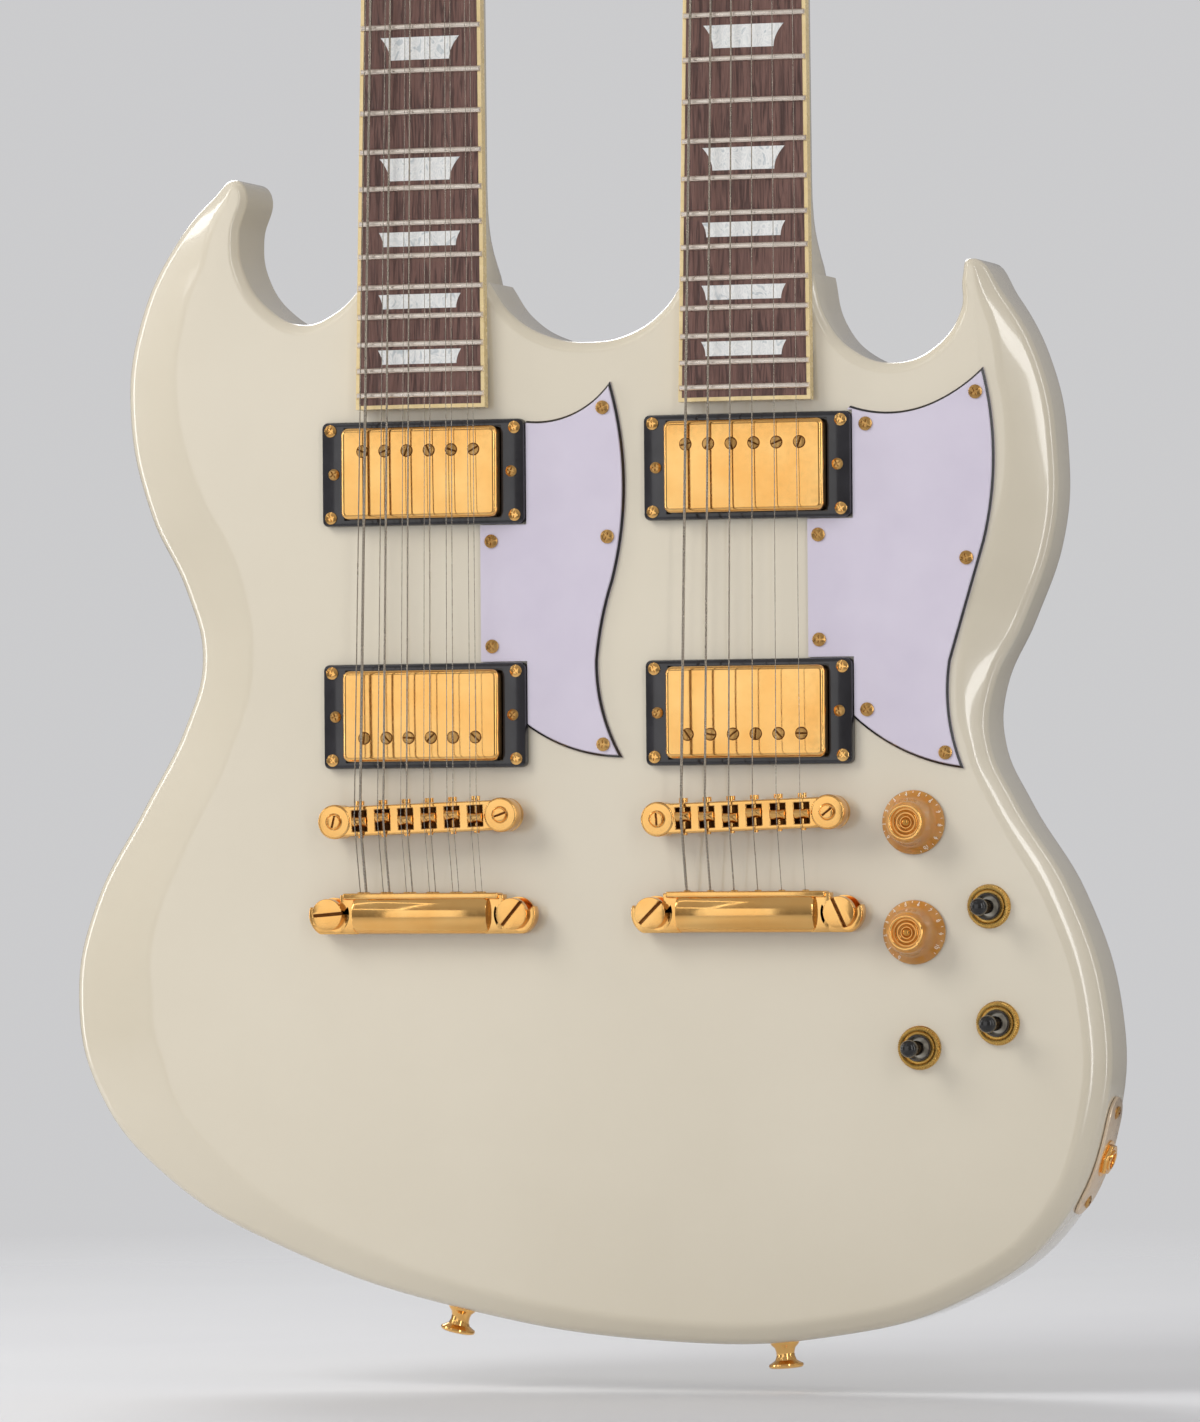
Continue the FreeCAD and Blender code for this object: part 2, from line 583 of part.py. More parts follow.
def make_body():
    """Body with its neck, pickup, control, post and jack cuts."""
    tools = []
    for side, name in ((LEFT, "left"), (RIGHT, "right")):
        tongue = taper(name + "_tongue_pocket", board_width(BOARD_END) + " + 2 * joint_gap",
                       board_width(HEEL_LINE) + " + 2 * joint_gap", BOARD_END + " - joint_gap",
                       HEEL_LINE + " + overrun", "board_thickness + tenon_depth + joint_gap", "0")
        tools.append(on_neck(group(name + "_tongue_tool", [tongue]), side))
        trim = taper(name + "_heel_trim", "board_width_end + 3 * overrun", "board_width_end + 3 * overrun",
                     HEEL_LINE, HEEL_LINE + " + board_thickness", "2 * body_thickness", "0")
        tools.append(on_neck(group(name + "_trim_tool", [trim]), side))
        middle = neck_middle(side)
        for kind, line in PICKUP_LINES.items():
            label = "%s_%s_pickup" % (name, kind)
            depth = "cover_height - cover_rise + base_plate + spring_gap"
            tools.append(box(label + "_cavity", "cover_width + 2 * cavity_gap", depth + " + overrun",
                             "cover_length + 2 * cavity_gap", middle, "-body_thickness + " + depth, line))
            tools.append(box(label + "_ears", "2 * pickup_ear_reach + 2 * cavity_gap", depth + " + overrun",
                             "pickup_ear_length + 2 * cavity_gap", middle, "-body_thickness + " + depth, line))
        for end in (LEFT, RIGHT):
            post_x = "%s + %d * post_spacing / 2 * cos(bridge_slant)" % (middle, end)
            post_z = "bridge_line + %d * post_spacing / 2 * sin(bridge_slant)" % end
            stud_x = "%s + %d * stud_spacing / 2" % (middle, end)
            for kind, x, z in (("post", post_x, post_z), ("stud", stud_x, "tail_line")):
                tools.append(flat_peg("%s_%s_hole_%d" % (name, kind, end + 1), EIGHT_SIDES,
                                      "post_radius + joint_gap", "post_length + joint_gap + overrun", x,
                                      "-body_thickness + post_length + joint_gap", z))
    tools.append(control_block("control_cavity", "0", "body_thickness - control_top", "overrun"))
    tools.append(control_block("panel_recess", "panel_lip", "panel_thickness", "overrun"))
    for line in ("volume_line", "tone_line"):
        tools.append(flat_peg(line + "_hole", EIGHT_SIDES, "pot_bushing_radius + sleeve_clearance",
                              "control_top + 2 * overrun", "knob_across",
                              "-body_thickness + control_top + overrun", line))
    for place in ("high", "low", "inner"):
        tools.append(flat_peg(place + "_switch_hole", EIGHT_SIDES, "switch_sleeve_radius + sleeve_clearance",
                              "control_top + 2 * overrun", "switch_%s_across" % place,
                              "-body_thickness + control_top + overrun", "switch_%s_line" % place))
    tools += jack_tools()
    for place in ("left", "right"):
        hole = flat_peg(place + "_strap_hole", SIX_SIDES, "strap_shank + joint_gap",
                        "strap_shank_length + joint_gap + overrun", "0", "strap_shank_length + joint_gap")
        tools.append(on_butt(group(place + "_strap_hole_placed", [hole]), place))
    return keep("body", cut("body", make_body_blank(), tools))


def control_block(name, lip, depth, past):
    """L-shaped block for the control cavity, its recess or its cover, rising from the back face."""
    margin = "(%s)" % lip
    rise = "%s + %s" % (depth, past)
    arm = box(name + "_arm", "control_step - control_left + 2 * %s" % margin, rise,
              "control_head - control_foot + 2 * %s" % margin, "(control_left + control_step) / 2", past,
              "(control_head + control_foot) / 2")
    wide = box(name + "_wide", "control_right - control_left + 2 * %s" % margin, rise,
               "control_shoulder - control_foot + 2 * %s" % margin, "(control_left + control_right) / 2", past,
               "(control_shoulder + control_foot) / 2")
    return eased(name, fuse(name + "_square", [arm, wide]), size("control_corner"), runs_along("y"))


def make_control_cover():
    """Back cover of the controls, let in flush with the back."""
    return keep("control_cover", control_block("control_cover", "panel_lip - panel_gap",
                                               "panel_thickness - panel_gap", "0"))


def on_butt(piece, place):
    """Seat a piece that rises towards the front on the butt, pointing down."""
    across, along, rise = STRAP_SHARES[place]
    slope = math.atan2(-rise * size("body_half_length"), size("body_half_width"))
    turned = FreeCAD.Rotation(FreeCAD.Vector(0, 1, 0), math.degrees(slope))
    turned = turned.multiply(FreeCAD.Rotation(FreeCAD.Vector(1, 0, 0), 90))
    piece.Placement = FreeCAD.Placement(FreeCAD.Vector(), turned)
    return move(piece, "%g * body_half_width" % across, "-body_thickness / 2", "%g * body_half_length" % along)


def make_strap_buttons():
    """Two strap buttons with their screws, standing out of the butt."""
    height = size("strap_height")
    flange = height - size("strap_flange")
    head = frustum("strap_head", EIGHT_SIDES, [(size("strap_foot_radius"), 0),
                                               (size("strap_neck_radius"), size("strap_flange")),
                                                (size("strap_neck_radius"), flange - size("strap_flange")),
                                                (size("strap_radius"), flange), (size("strap_radius"), height)])
    shank = flat_peg("strap_shank_pin", SIX_SIDES, "strap_shank", "strap_shank_length", "0",
                     "strap_shank_length")
    button = fuse("strap_button", [head, shank])
    placed = [on_butt(copy_of("strap_button_" + place, button), place) for place in ("left", "right")]
    return keep("strap_buttons", group("strap_buttons", placed))


def neck_section(distance, depth, squareness, half_width):
    """Closed neck section across the neck at a distance from the scale line."""
    top = size("board_thickness")
    side = []
    for plain, square in zip(NECK_BACK_SHARES, HEEL_BACK_SHARES):
        across = plain[0] + (square[0] - plain[0]) * squareness
        down = plain[1] + (square[1] - plain[1]) * squareness
        side.append((across * half_width, top + down * depth))
    points = [FreeCAD.Vector(half_width, top, distance)]
    points += [FreeCAD.Vector(x, y, distance) for x, y in side]
    points += [FreeCAD.Vector(-x, y, distance) for x, y in reversed(side[:-1])]
    points.append(FreeCAD.Vector(-half_width, top, distance))
    return Part.makePolygon(points + points[:1])


def half_board_width(distance):
    """Half of the fretboard's width at a distance from the scale line."""
    share = (distance - board_end()) / (size("scale_length") - board_end())
    return (size("board_width_end") + (size("board_width_nut") - size("board_width_end")) * share) / 2


def make_neck_blank(name):
    """Neck shaft and heel lofted through their sections."""
    heel = []
    extra = size("heel_depth") - size("neck_depth_heel")
    for along, deep, square in HEEL_SHARES:
        distance = heel_distance() + size("joint_gap") + along * size("heel_length")
        depth = size("neck_depth_heel") + deep * extra
        heel.append(neck_section(distance, depth, square, half_board_width(distance)))
    nut_end = size("scale_length") + size("nut_thickness")
    slim = neck_section(nut_end, size("neck_depth"), 0.0, half_board_width(nut_end))
    return shaped(name, Part.makeLoft(heel + [slim], True, True))


def headstock_plate(name, length_name):
    """Symmetrical paddle headstock with a rounded crown."""
    half = size("head_half_width")
    length = size(length_name)
    root = half_board_width(size("scale_length")) / half
    shares = [(root, 0.0)] + HEADSTOCK_SHARES[1:]
    right = [FreeCAD.Vector(across * half, 0, along * length) for across, along in shares]
    left = [FreeCAD.Vector(-point.x, 0, point.z) for point in reversed(right)]
    crown = arcs([right[-1], FreeCAD.Vector(0, 0, length), left[0]])
    sides = Part.makePolygon(left + right)
    edges = sides.Edges + crown
    face = shaped(name + "_face", Part.Face(Part.Wire(edges)))
    plate = doc.addObject("Part::Extrusion", name)
    plate.Base = face
    plate.Dir = FreeCAD.Vector(0, 1, 0)
    plate.DirMode = "Custom"
    plate.Solid = True
    bind(plate, LengthFwd="head_thickness")
    return plate


def peg_places(count):
    """Across and along formulas of one neck's tuners, lowest first, left then right."""
    pitch = "peg_pitch_twelve" if count == 2 * COURSES else "peg_pitch_six"
    places = []
    for number in range(count // 2):
        for side in (LEFT, RIGHT):
            places.append(("%d * peg_offset" % side, "peg_first + %d * %s" % (number, pitch), side))
    return places


def make_neck(label, side, string_count, length_name):
    """Neck with its tongue, heel and headstock."""
    tongue = taper(label + "_tongue", board_width(BOARD_END), board_width(HEEL_LINE), BOARD_END,
                   HEEL_LINE + " + 2 * joint_gap", "board_thickness + tenon_depth", "board_thickness")
    plate = headstock_plate(label + "_plate", length_name)
    holes = [flat_peg("%s_peg_hole_%d" % (label, index), SIX_SIDES, "peg_radius + peg_clearance",
                      "head_thickness + 2 * overrun", across, "head_thickness + overrun", along)
             for index, (across, along, hand) in enumerate(peg_places(string_count))]
    drilled = cut(label + "_drilled", plate, holes)
    leaning = copy_of(label + "_leaning", drilled)
    turn(leaning, (-1, 0, 0), "head_angle")
    move(leaning, "0", "head_drop", "scale_length + nut_thickness")
    root = make_head_root(label)
    wood = [make_neck_blank(label + "_blank"), tongue, group(label + "_head", [leaning]), root]
    seat = taper(label + "_nut_seat", "2 * board_width_nut", "2 * board_width_nut", "scale_length",
                 "scale_length + nut_thickness", "board_thickness", "-head_drop")
    return keep(label, on_neck(cut(label, fuse(label + "_wood", wood), [seat]), side))


def make_head_root(label):
    """Wedge of wood that carries the neck's back into the leaning headstock."""
    nut_end = size("scale_length") + size("nut_thickness")
    lean = math.radians(size("head_angle"))
    reach = size("head_length_six") * HEADSTOCK_SHARES[2][1]
    first = neck_section(nut_end, size("neck_depth"), 0.0, half_board_width(nut_end))
    drop = size("head_drop") + reach * math.sin(lean)
    up = nut_end + reach * math.cos(lean)
    half = half_board_width(nut_end)
    inset = size("joint_gap")
    second = neck_section(up, size("head_thickness") - inset, 0.0, half)
    second.translate(FreeCAD.Vector(0, drop - size("board_thickness") + inset, 0))
    return shaped(label + "_root", Part.makeLoft([first, second], True, True))


def board_section(distance, inset, back, raised):
    """Closed fretboard section: crowned front raised by an amount, and a flat back."""
    half = half_board_width(distance) - inset
    radius = size("board_radius")
    front = []
    for share in BOARD_SHARES:
        drop = radius - math.sqrt(radius ** 2 - (share * half) ** 2)
        front.append(FreeCAD.Vector(share * half, drop - raised, distance))
    rear = [FreeCAD.Vector(half, back, distance), FreeCAD.Vector(-half, back, distance)]
    return Part.makePolygon(front + rear + front[:1])


def make_fret(number):
    """One fret across the board between its bindings, narrower at its crown."""
    distance = fret_distance(number)
    half = half_board_width(distance) - size("binding_width")
    radius = size("board_radius")
    foot = size("fret_width") / 2
    crown = size("fret_crown_width") / 2
    rings = []
    for share in BOARD_SHARES:
        x = share * half
        drop = radius - math.sqrt(radius ** 2 - x ** 2)
        top = drop - size("fret_height")
        corners = [(drop, -foot), (top, -crown), (top, crown), (drop, foot)]
        points = [FreeCAD.Vector(x, y, distance + along) for y, along in corners]
        rings.append(Part.makePolygon(points + points[:1]))
    return Part.makeLoft(rings, True, True)


def make_fretboards():
    """Fretboards, their bindings, inlays and frets, drawn once and seated on both necks."""
    end = board_end()
    nut = size("scale_length")
    trim = size("binding_width")
    back = size("board_thickness")
    core = shaped("board_core", Part.makeLoft([board_section(end + trim, trim, back, 0),
                                               board_section(nut, trim, back, 0)], True, True))
    full = shaped("board_full", Part.makeLoft([board_section(end, 0, back, 0),
                                               board_section(nut, 0, back, 0)], True, True))
    past = size("overrun")
    window = shaped("board_window", Part.makeLoft([board_section(end + trim, trim, back + past, past),
                                                   board_section(nut + past, trim, back + past, past)],
                                                  True, True))
    rim = cut("board_rim", full, [window])
    inlays = []
    for number in INLAY_FRETS:
        middle = "(%s + %s) / 2" % (fret_line(number), fret_line(number - 1))
        span = "(%s - %s) * %g" % (fret_line(number - 1), fret_line(number), INLAY_LENGTH_SHARE)
        wide = board_width(middle)
        inlays.append(taper("inlay_%d" % number, "(%s) * %g" % (wide, INLAY_NARROW_SHARE),
                            "(%s) * %g" % (wide, INLAY_WIDE_SHARE), "%s - %s / 2" % (middle, span),
                            "%s + %s / 2" % (middle, span), "inlay_depth", "-overrun"))
    blocks = common("inlay_blocks", group("inlay_stock", inlays), core)
    board = cut("board_inlaid", core, [blocks])
    wires = shaped("fret_wires", Part.makeCompound([make_fret(number) for number in range(1, FRET_COUNT + 1)]))
    keep("fretboard_12", on_neck(group("fretboard_12", [board]), LEFT))
    keep("fretboard_6", on_neck(group("fretboard_6", [board]), RIGHT))
    for label, base in (("fretboard_bindings", rim), ("fret_inlays", blocks), ("frets", wires)):
        pair = [on_neck(copy_of("%s_%d" % (label, side + 1), base), side) for side in (LEFT, RIGHT)]
        keep(label, group(label, pair))


def string_table(count):
    """Share of the spread, half steps within a course and gauge share of each string, left to right."""
    table = []
    for course in range(COURSES):
        share = course / (COURSES - 1) - 1 / 2
        if count == COURSES:
            table.append((share, 0, STRING_SHARES[course]))
        else:
            table.append((share, -1, OCTAVE_SHARES[course]))
            table.append((share, 1, STRING_SHARES[course]))
    return table


def nut_place(share, step):
    """Formula for a string's place across the nut."""
    return "string_spread_nut * %g + course_gap_nut * %g" % (share, step / 2)


def make_nuts():
    """Two nuts with a slot for each string."""
    placed = []
    for side, count in ((LEFT, 2 * COURSES), (RIGHT, COURSES)):
        block = taper("nut_block_%d" % count, board_width("scale_length"), board_width("scale_length"),
                      "scale_length", "scale_length + nut_thickness", "board_thickness", "-nut_rise")
        slots = [box("nut_slot_%d_%d" % (count, index), "nut_slot_width", "nut_rise",
                     "nut_thickness + 2 * overrun", nut_place(share, step), "-nut_slot_floor",
                     "scale_length + nut_thickness / 2")
                 for index, (share, step, gauge) in enumerate(string_table(count))]
        nut = cut("nut_%d" % count, block, slots)
        placed.append(on_neck(copy_of("nut_%d_placed" % count, nut), side))
    return keep("string_nuts", group("string_nuts", placed))


def make_truss_covers():
    """Cover of the truss rod's end on each headstock."""
    cover = taper("truss_cover", "truss_cover_width", "truss_cover_tip", "truss_cover_gap",
                  "truss_cover_gap + truss_cover_length", "0", "-truss_cover_thickness")
    pair = [on_headstock(copy_of("truss_cover_%d" % (side + 1), cover), side, "0", "0")
            for side in (LEFT, RIGHT)]
    return keep("truss_rod_covers", group("truss_rod_covers", pair))


def make_tuners():
    """Tuner housings, posts and turning buttons of both headstocks."""
    post = flat_peg("tuner_post", SIX_SIDES, "peg_radius", "peg_rise + head_thickness", "0",
                    "head_thickness", "0")
    shell = box("tuner_shell", "tuner_width", "tuner_depth", "tuner_width", "0",
                "head_thickness + tuner_depth", "0")
    bases = {}
    buttons = {}
    for hand in (LEFT, RIGHT):
        bore = worm_pin("worm_bore_%d" % (hand + 1), hand,
                        "(worm_radius + worm_clearance) / cos(180 / %d)" % SIX_SIDES,
                        "tuner_width / 2 - worm_reach - worm_clearance", "worm_reach + overrun")
        bases[hand] = cut("tuner_base_%d" % (hand + 1), shell, [bore])
        shaft = worm_pin("worm_shaft_%d" % (hand + 1), hand, "worm_radius",
                         "tuner_width / 2 - worm_reach", "worm_reach + button_gap + button_length / 2")
        buttons[hand] = fuse("tuner_button_%d" % (hand + 1), [button_grip(hand), shaft])
    housings = []
    posts = []
    for side, count in ((LEFT, 2 * COURSES), (RIGHT, COURSES)):
        for index, (across, along, hand) in enumerate(peg_places(count), start=1):
            tag = "%d_%d" % (count, index)
            housings.append(on_headstock(copy_of("housing_" + tag, bases[hand]), side, across, along))
            posts.append(on_headstock(copy_of("post_" + tag, post), side, across, along))
            button = group("tuner_button_" + tag, [buttons[hand]])
            keep("tuner_button_" + tag, on_headstock(button, side, across, along))
    keep("tuner_housings", group("tuner_housings", housings))
    keep("tuner_posts", group("tuner_posts", posts))


def worm_pin(name, hand, radius, start, length):
    """Many-sided pin along the worm axis of a tuner, from a start outwards."""
    pin = doc.addObject("Part::Prism", name)
    pin.Polygon = SIX_SIDES
    turn(pin, (0, 1, 0), "%d * 90" % hand)
    bind(pin, Circumradius=radius, Height=length)
    return move(pin, "%d * (%s)" % (hand, start), "head_thickness + tuner_depth / 2")


def button_grip(hand):
    """Flat grip of a tuner button, wider towards its outer end."""
    start = size("tuner_width") / 2 + size("button_gap")
    half = size("button_width") / 2
    upper = [FreeCAD.Vector(hand * (start + along * size("button_length")), 0, across * half)
             for along, across in BUTTON_SHARES]
    lower = [FreeCAD.Vector(point.x, 0, -point.z) for point in reversed(upper)]
    face = shaped("button_face_%d" % (hand + 1), Part.Face(Part.makePolygon(upper + lower + upper[:1])))
    grip = doc.addObject("Part::Extrusion", "button_grip_%d" % (hand + 1))
    grip.Base = face
    grip.Dir = FreeCAD.Vector(0, 1, 0)
    grip.DirMode = "Custom"
    grip.Solid = True
    grip.Symmetric = True
    bind(grip, LengthFwd="button_thickness")
    return move(grip, "0", "head_thickness + tuner_depth / 2")


def make_pickguard(label, side, reach_name, edge_name, tables):
    """Pickguard notched round the two pickup rings beside it."""
    centre = side * size("neck_spacing") / 2
    reach = size(reach_name)
    low = size("bridge_pickup_line")
    span = neck_pickup_distance() - low
    curves = [[FreeCAD.Vector(centre + across * reach, 0, low + along * span) for across, along in table]
              for table in tables]
    edge = centre + size(edge_name)
    upper_corner = FreeCAD.Vector(edge, 0, neck_pickup_distance())
    lower_corner = FreeCAD.Vector(edge, 0, low)
    edges = [edge for curve in curves for edge in arcs(curve)]
    edges += [Part.makeLine(curves[2][-1], lower_corner), Part.makeLine(lower_corner, upper_corner)]
    edges.append(Part.makeLine(upper_corner, curves[0][0]))
    face = shaped(label + "_face", Part.Face(Part.Wire(edges)))
    sheet_metal = doc.addObject("Part::Extrusion", label + "_sheet")
    sheet_metal.Base = face
    sheet_metal.Dir = FreeCAD.Vector(0, -1, 0)
    sheet_metal.DirMode = "Custom"
    sheet_metal.Solid = True
    bind(sheet_metal, LengthFwd="guard_thickness")
    rings = [box("%s_%s_ring" % (label, kind), "ring_width + 2 * guard_gap",
                 "guard_thickness + 2 * overrun", "ring_length + 2 * guard_gap", neck_middle(side),
                 "overrun", line)
             for kind, line in PICKUP_LINES.items()]
    guard = cut(label, sheet_metal, rings)
    return keep(label, move(guard, "0", "-body_thickness", "0"))


def on_pickups(label, bases):
    """Seat one base per pickup on both necks and keep them as one node."""
    placed = []
    for side in (LEFT, RIGHT):
        for kind, base in bases:
            piece = copy_of("%s_%d_%s" % (label, side + 1, kind), base, neck_middle(side), "-body_thickness",
                            PICKUP_LINES[kind])
            placed.append(piece)
    return keep(label, group(label, placed))


def make_pickups():
    """Rings, covers, coils and pole screws of the four pickups."""
    ring_block = eased("ring_block", box("ring_square", "ring_width", "ring_height", "ring_length"),
                         size("ring_corner"), runs_along("y"))
    window = box("ring_window", "cover_width + 2 * cover_clearance", "ring_height + 2 * overrun",
                 "cover_length + 2 * cover_clearance", "0", "overrun")
    ring = cut("ring", ring_block, [window])
    on_pickups("pickup_rings", [("neck", ring), ("bridge", ring)])
    covers = []
    coils = []
    poles = []
    for line, sign in (("neck", 1), ("bridge", -1)):
        block = eased("cover_block_" + line, box("cover_square_" + line, "cover_width", "cover_height",
                                                   "cover_length", "0", "cover_height - cover_rise"),
                        size("cover_corner"), cover_edges)
        hollow = box("cover_hollow_" + line, "cover_width - 2 * cover_wall",
                     "cover_height - cover_wall + overrun", "cover_length - 2 * cover_wall", "0",
                     "cover_height - cover_rise + overrun")
        covers.append((line, cut("cover_" + line, block, [hollow] + pole_row(line, sign, True))))
        coil = box("coil_" + line, "cover_width - 2 * cover_wall - 2 * coil_gap",
                   "cover_height - cover_wall - coil_gap", "cover_length - 2 * cover_wall - 2 * coil_gap", "0",
                   "cover_height - cover_rise")
        plate = box("base_plate_" + line, "2 * pickup_ear_reach", "base_plate", "pickup_ear_length", "0",
                    "cover_height - cover_rise + base_plate")
        broad = box("base_broad_" + line, "cover_width", "base_plate", "cover_length", "0",
                    "cover_height - cover_rise + base_plate")
        body = fuse("coil_body_" + line, [coil, plate, broad])
        trench = box("coil_trench_" + line, "%d * pole_pitch" % COURSES,
                     "cover_height + base_plate + 2 * overrun", "2 * pole_radius + 2 * pole_clearance", "0",
                     "cover_height - cover_rise + base_plate + overrun", "%d * pole_offset" % sign)
        coils.append((line, cut("coil_bored_" + line, body, [trench])))
        poles.append((line, group("poles_" + line, pole_row("slotted_" + line, sign, False))))
    on_pickups("pickup_covers", covers)
    on_pickups("pickup_coils", coils)
    on_pickups("pole_screws", poles)


def cover_edges(edge):
    """Upright edges and front rim of a pickup cover."""
    upright = runs_along("y")(edge)
    front = edge.BoundBox.YMax < -size("cover_rise") + size("cover_wall")
    return upright or front


def pole_row(name, sign, as_holes):
    """Six pole screws of a pickup, or the holes that clear them."""
    row = []
    foot = "cover_height - cover_rise + base_plate"
    for number in range(COURSES):
        x = "%g * pole_pitch" % (number - (COURSES - 1) / 2)
        z = "%d * pole_offset" % sign
        tag = "%s_pole_%d" % (name, number)
        if as_holes:
            row.append(flat_peg(tag, SIX_SIDES, "pole_radius + pole_clearance",
                                "cover_height + base_plate + 2 * overrun", x, foot + " + overrun", z))
        else:
            row.append(flat_peg(tag, SIX_SIDES, "pole_radius", foot + " + cover_rise + pole_rise", x, foot, z))
    return row


def on_bridge(name, base, side):
    """Seat a piece that is drawn from the bridge's middle on the body."""
    piece = copy_of(name, base)
    turn(piece, (0, -1, 0), "bridge_slant")
    return move(piece, neck_middle(side), "-body_thickness", "bridge_line")


def make_bridges():
    """Tune bridges with their saddles, posts and height wheels."""
    bar = box("bridge_bar", "post_spacing", "bridge_bar_height", "bridge_bar_width", "0", "-bridge_underside")
    lobes = [flat_peg("bridge_lobe_%d" % (end + 1), EIGHT_SIDES, "bridge_lobe_radius", "bridge_height",
                      "%d * post_spacing / 2" % end, "-bridge_underside") for end in (LEFT, RIGHT)]
    channel = box("bridge_channel", "channel_length", "bridge_bar_height", "channel_width", "0",
                  "-(bridge_underside + channel_floor)")
    holes = [flat_peg("bridge_bore_%d" % (end + 1), EIGHT_SIDES, "post_radius + post_clearance",
                      "bridge_height + 2 * overrun", "%d * post_spacing / 2" % end,
                      "-bridge_underside + overrun") for end in (LEFT, RIGHT)]
    saddles = [make_saddle(course, "%g * string_spread_bridge" % (course / (COURSES - 1) - 1 / 2))
               for course in range(COURSES)]
    bridge = cut("bridge", fuse("bridge_solid", [bar] + lobes), [channel] + holes)
    for label, side in (("bridge_12", LEFT), ("bridge_6", RIGHT)):
        keep(label, group(label, [on_bridge(label + "_placed", bridge, side)]))
    set_of = {"bridge_saddles": group("saddle_row", saddles), "bridge_posts": group("post_pair", make_posts())}
    for label, base in set_of.items():
        keep(label, group(label, [on_bridge("%s_%d" % (label, side + 1), base, side) for side in (LEFT, RIGHT)]))


def make_saddle(course, x):
    """Roof-shaped saddle that slides in the bridge's channel."""
    width = "channel_width - 2 * saddle_clearance"
    floor = "(bridge_underside + channel_floor)"
    roof = doc.addObject("Part::Wedge", "saddle_roof_%d" % course)
    bind(roof, Xmin="-saddle_width / 2", Xmax="saddle_width / 2", X2min="-saddle_width / 2",
         X2max="saddle_width / 2")
    bind(roof, Ymin="-(string_rise_bridge - 2 * string_gauge)", Ymax="-(bridge_underside + bridge_bar_height)")
    bind(roof, Zmin="-saddle_ridge / 2", Zmax="saddle_ridge / 2", Z2min="-(%s) / 2" % width,
         Z2max="(%s) / 2" % width)
    block = box("saddle_block_%d" % course, "saddle_width",
                "bridge_underside + bridge_bar_height - %s" % floor, width, "0", "-" + floor)
    return move(fuse("saddle_%d" % course, [roof, block]), x)


def make_posts():
    """Bridge posts with their height wheels."""
    pieces = []
    for end in (LEFT, RIGHT):
        x = "%d * post_spacing / 2" % end
        tag = "bridge_post_%d" % (end + 1)
        shank = flat_peg(tag + "_shank", EIGHT_SIDES, "post_radius", "bridge_underside + bridge_height + post_length",
                         x, "post_length")
        wheel = flat_peg(tag + "_wheel", EIGHT_SIDES, "wheel_radius", "wheel_height", x,
                         "-(bridge_underside - wheel_height)")
        pieces.append(fuse(tag, [shank, wheel]))
    return pieces


def tail_place(share, step):
    """Formula for a string's place across the tailpiece."""
    return "string_spread_bridge * %g + course_gap_bridge * %g" % (share, step / 2)


def tail_bar():
    """Bar of the tailpiece with its rounded front, between its hooks."""
    half = size("tail_width") / 2
    base = size("tail_underside")
    upper = [(across * half, -(base + share * size("tail_height"))) for across, share in TAIL_BAR_SHARES]
    lower = [(-z, y) for z, y in reversed(upper[:-1])]
    start = -size("tail_length") / 2
    points = [FreeCAD.Vector(start, y, z) for z, y in upper + lower]
    face = Part.Face(Part.makePolygon(points + points[:1]))
    return shaped("tail_bar", face.extrude(FreeCAD.Vector(size("tail_length"), 0, 0)))


def make_tailpieces():
    """Stop tailpieces with hooked ends that open towards the bridges, on their studs."""
    hooks = []
    mouths = []
    for end in (LEFT, RIGHT):
        x = "%d * stud_spacing / 2" % end
        hooks.append(flat_peg("tail_hook_%d" % (end + 1), TWELVE_SIDES, "hook_radius", "hook_height", x,
                              "-tail_underside"))
        hooks.append(box("tail_arm_%d" % (end + 1), "hook_radius + overrun", "hook_height", "tail_width",
                         "%d * (stud_spacing / 2 - hook_radius / 2 - overrun / 2)" % end, "-tail_underside"))
        mouths.append(box("tail_mouth_%d" % (end + 1), "hook_slot", "hook_height + 2 * overrun",
                          "2 * hook_radius", x, "-tail_underside + overrun", "hook_radius"))
        mouths.append(flat_peg("tail_eye_%d" % (end + 1), TWELVE_SIDES, "hook_slot / 2 / cos(180 / %d)" % TWELVE_SIDES,
                               "hook_height + 2 * overrun", x, "-tail_underside + overrun"))
    solid = fuse("tail_solid", [tail_bar()] + hooks)
    for label, side, count in (("tailpiece_12", LEFT, 2 * COURSES), ("tailpiece_6", RIGHT, COURSES)):
        holes = []
        for index, (share, step, gauge) in enumerate(string_table(count)):
            hole = doc.addObject("Part::Prism", "%s_hole_%d" % (label, index))
            hole.Polygon = FOUR_SIDES
            bind(hole, Circumradius="tail_hole_radius", Height="tail_width + 2 * overrun")
            holes.append(move(hole, tail_place(share, step), "-(tail_underside + tail_hole_rise)",
                              "-(tail_width / 2 + overrun)"))
        tail = cut(label, solid, mouths + holes)
        keep(label, move(tail, neck_middle(side), "-body_thickness", "tail_line"))
    make_studs()


def make_studs():
    """Broad-headed studs with the rim that carries each hook."""
    pieces = []
    for end in (LEFT, RIGHT):
        x = "%d * stud_spacing / 2" % end
        tag = "tail_stud_%d" % (end + 1)
        top = "(tail_underside + hook_height)"
        head = flat_peg(tag + "_head", TWELVE_SIDES, "stud_head_radius", "stud_head_height", x, "-" + top)
        shank = flat_peg(tag + "_shank", EIGHT_SIDES, "post_radius", top + " + post_length", x, "post_length")
        rim = flat_peg(tag + "_rim", EIGHT_SIDES, "stud_rim_radius", "stud_rim", x,
                       "-(tail_underside - stud_rim)")
        pieces.append(fuse(tag, [head, shank, rim]))
    base = group("tail_stud_pair", pieces)
    pair = [copy_of("tail_studs_%d" % (side + 1), base, neck_middle(side), "-body_thickness", "tail_line")
            for side in (LEFT, RIGHT)]
    return keep("tailpiece_studs", group("tailpiece_studs", pair))


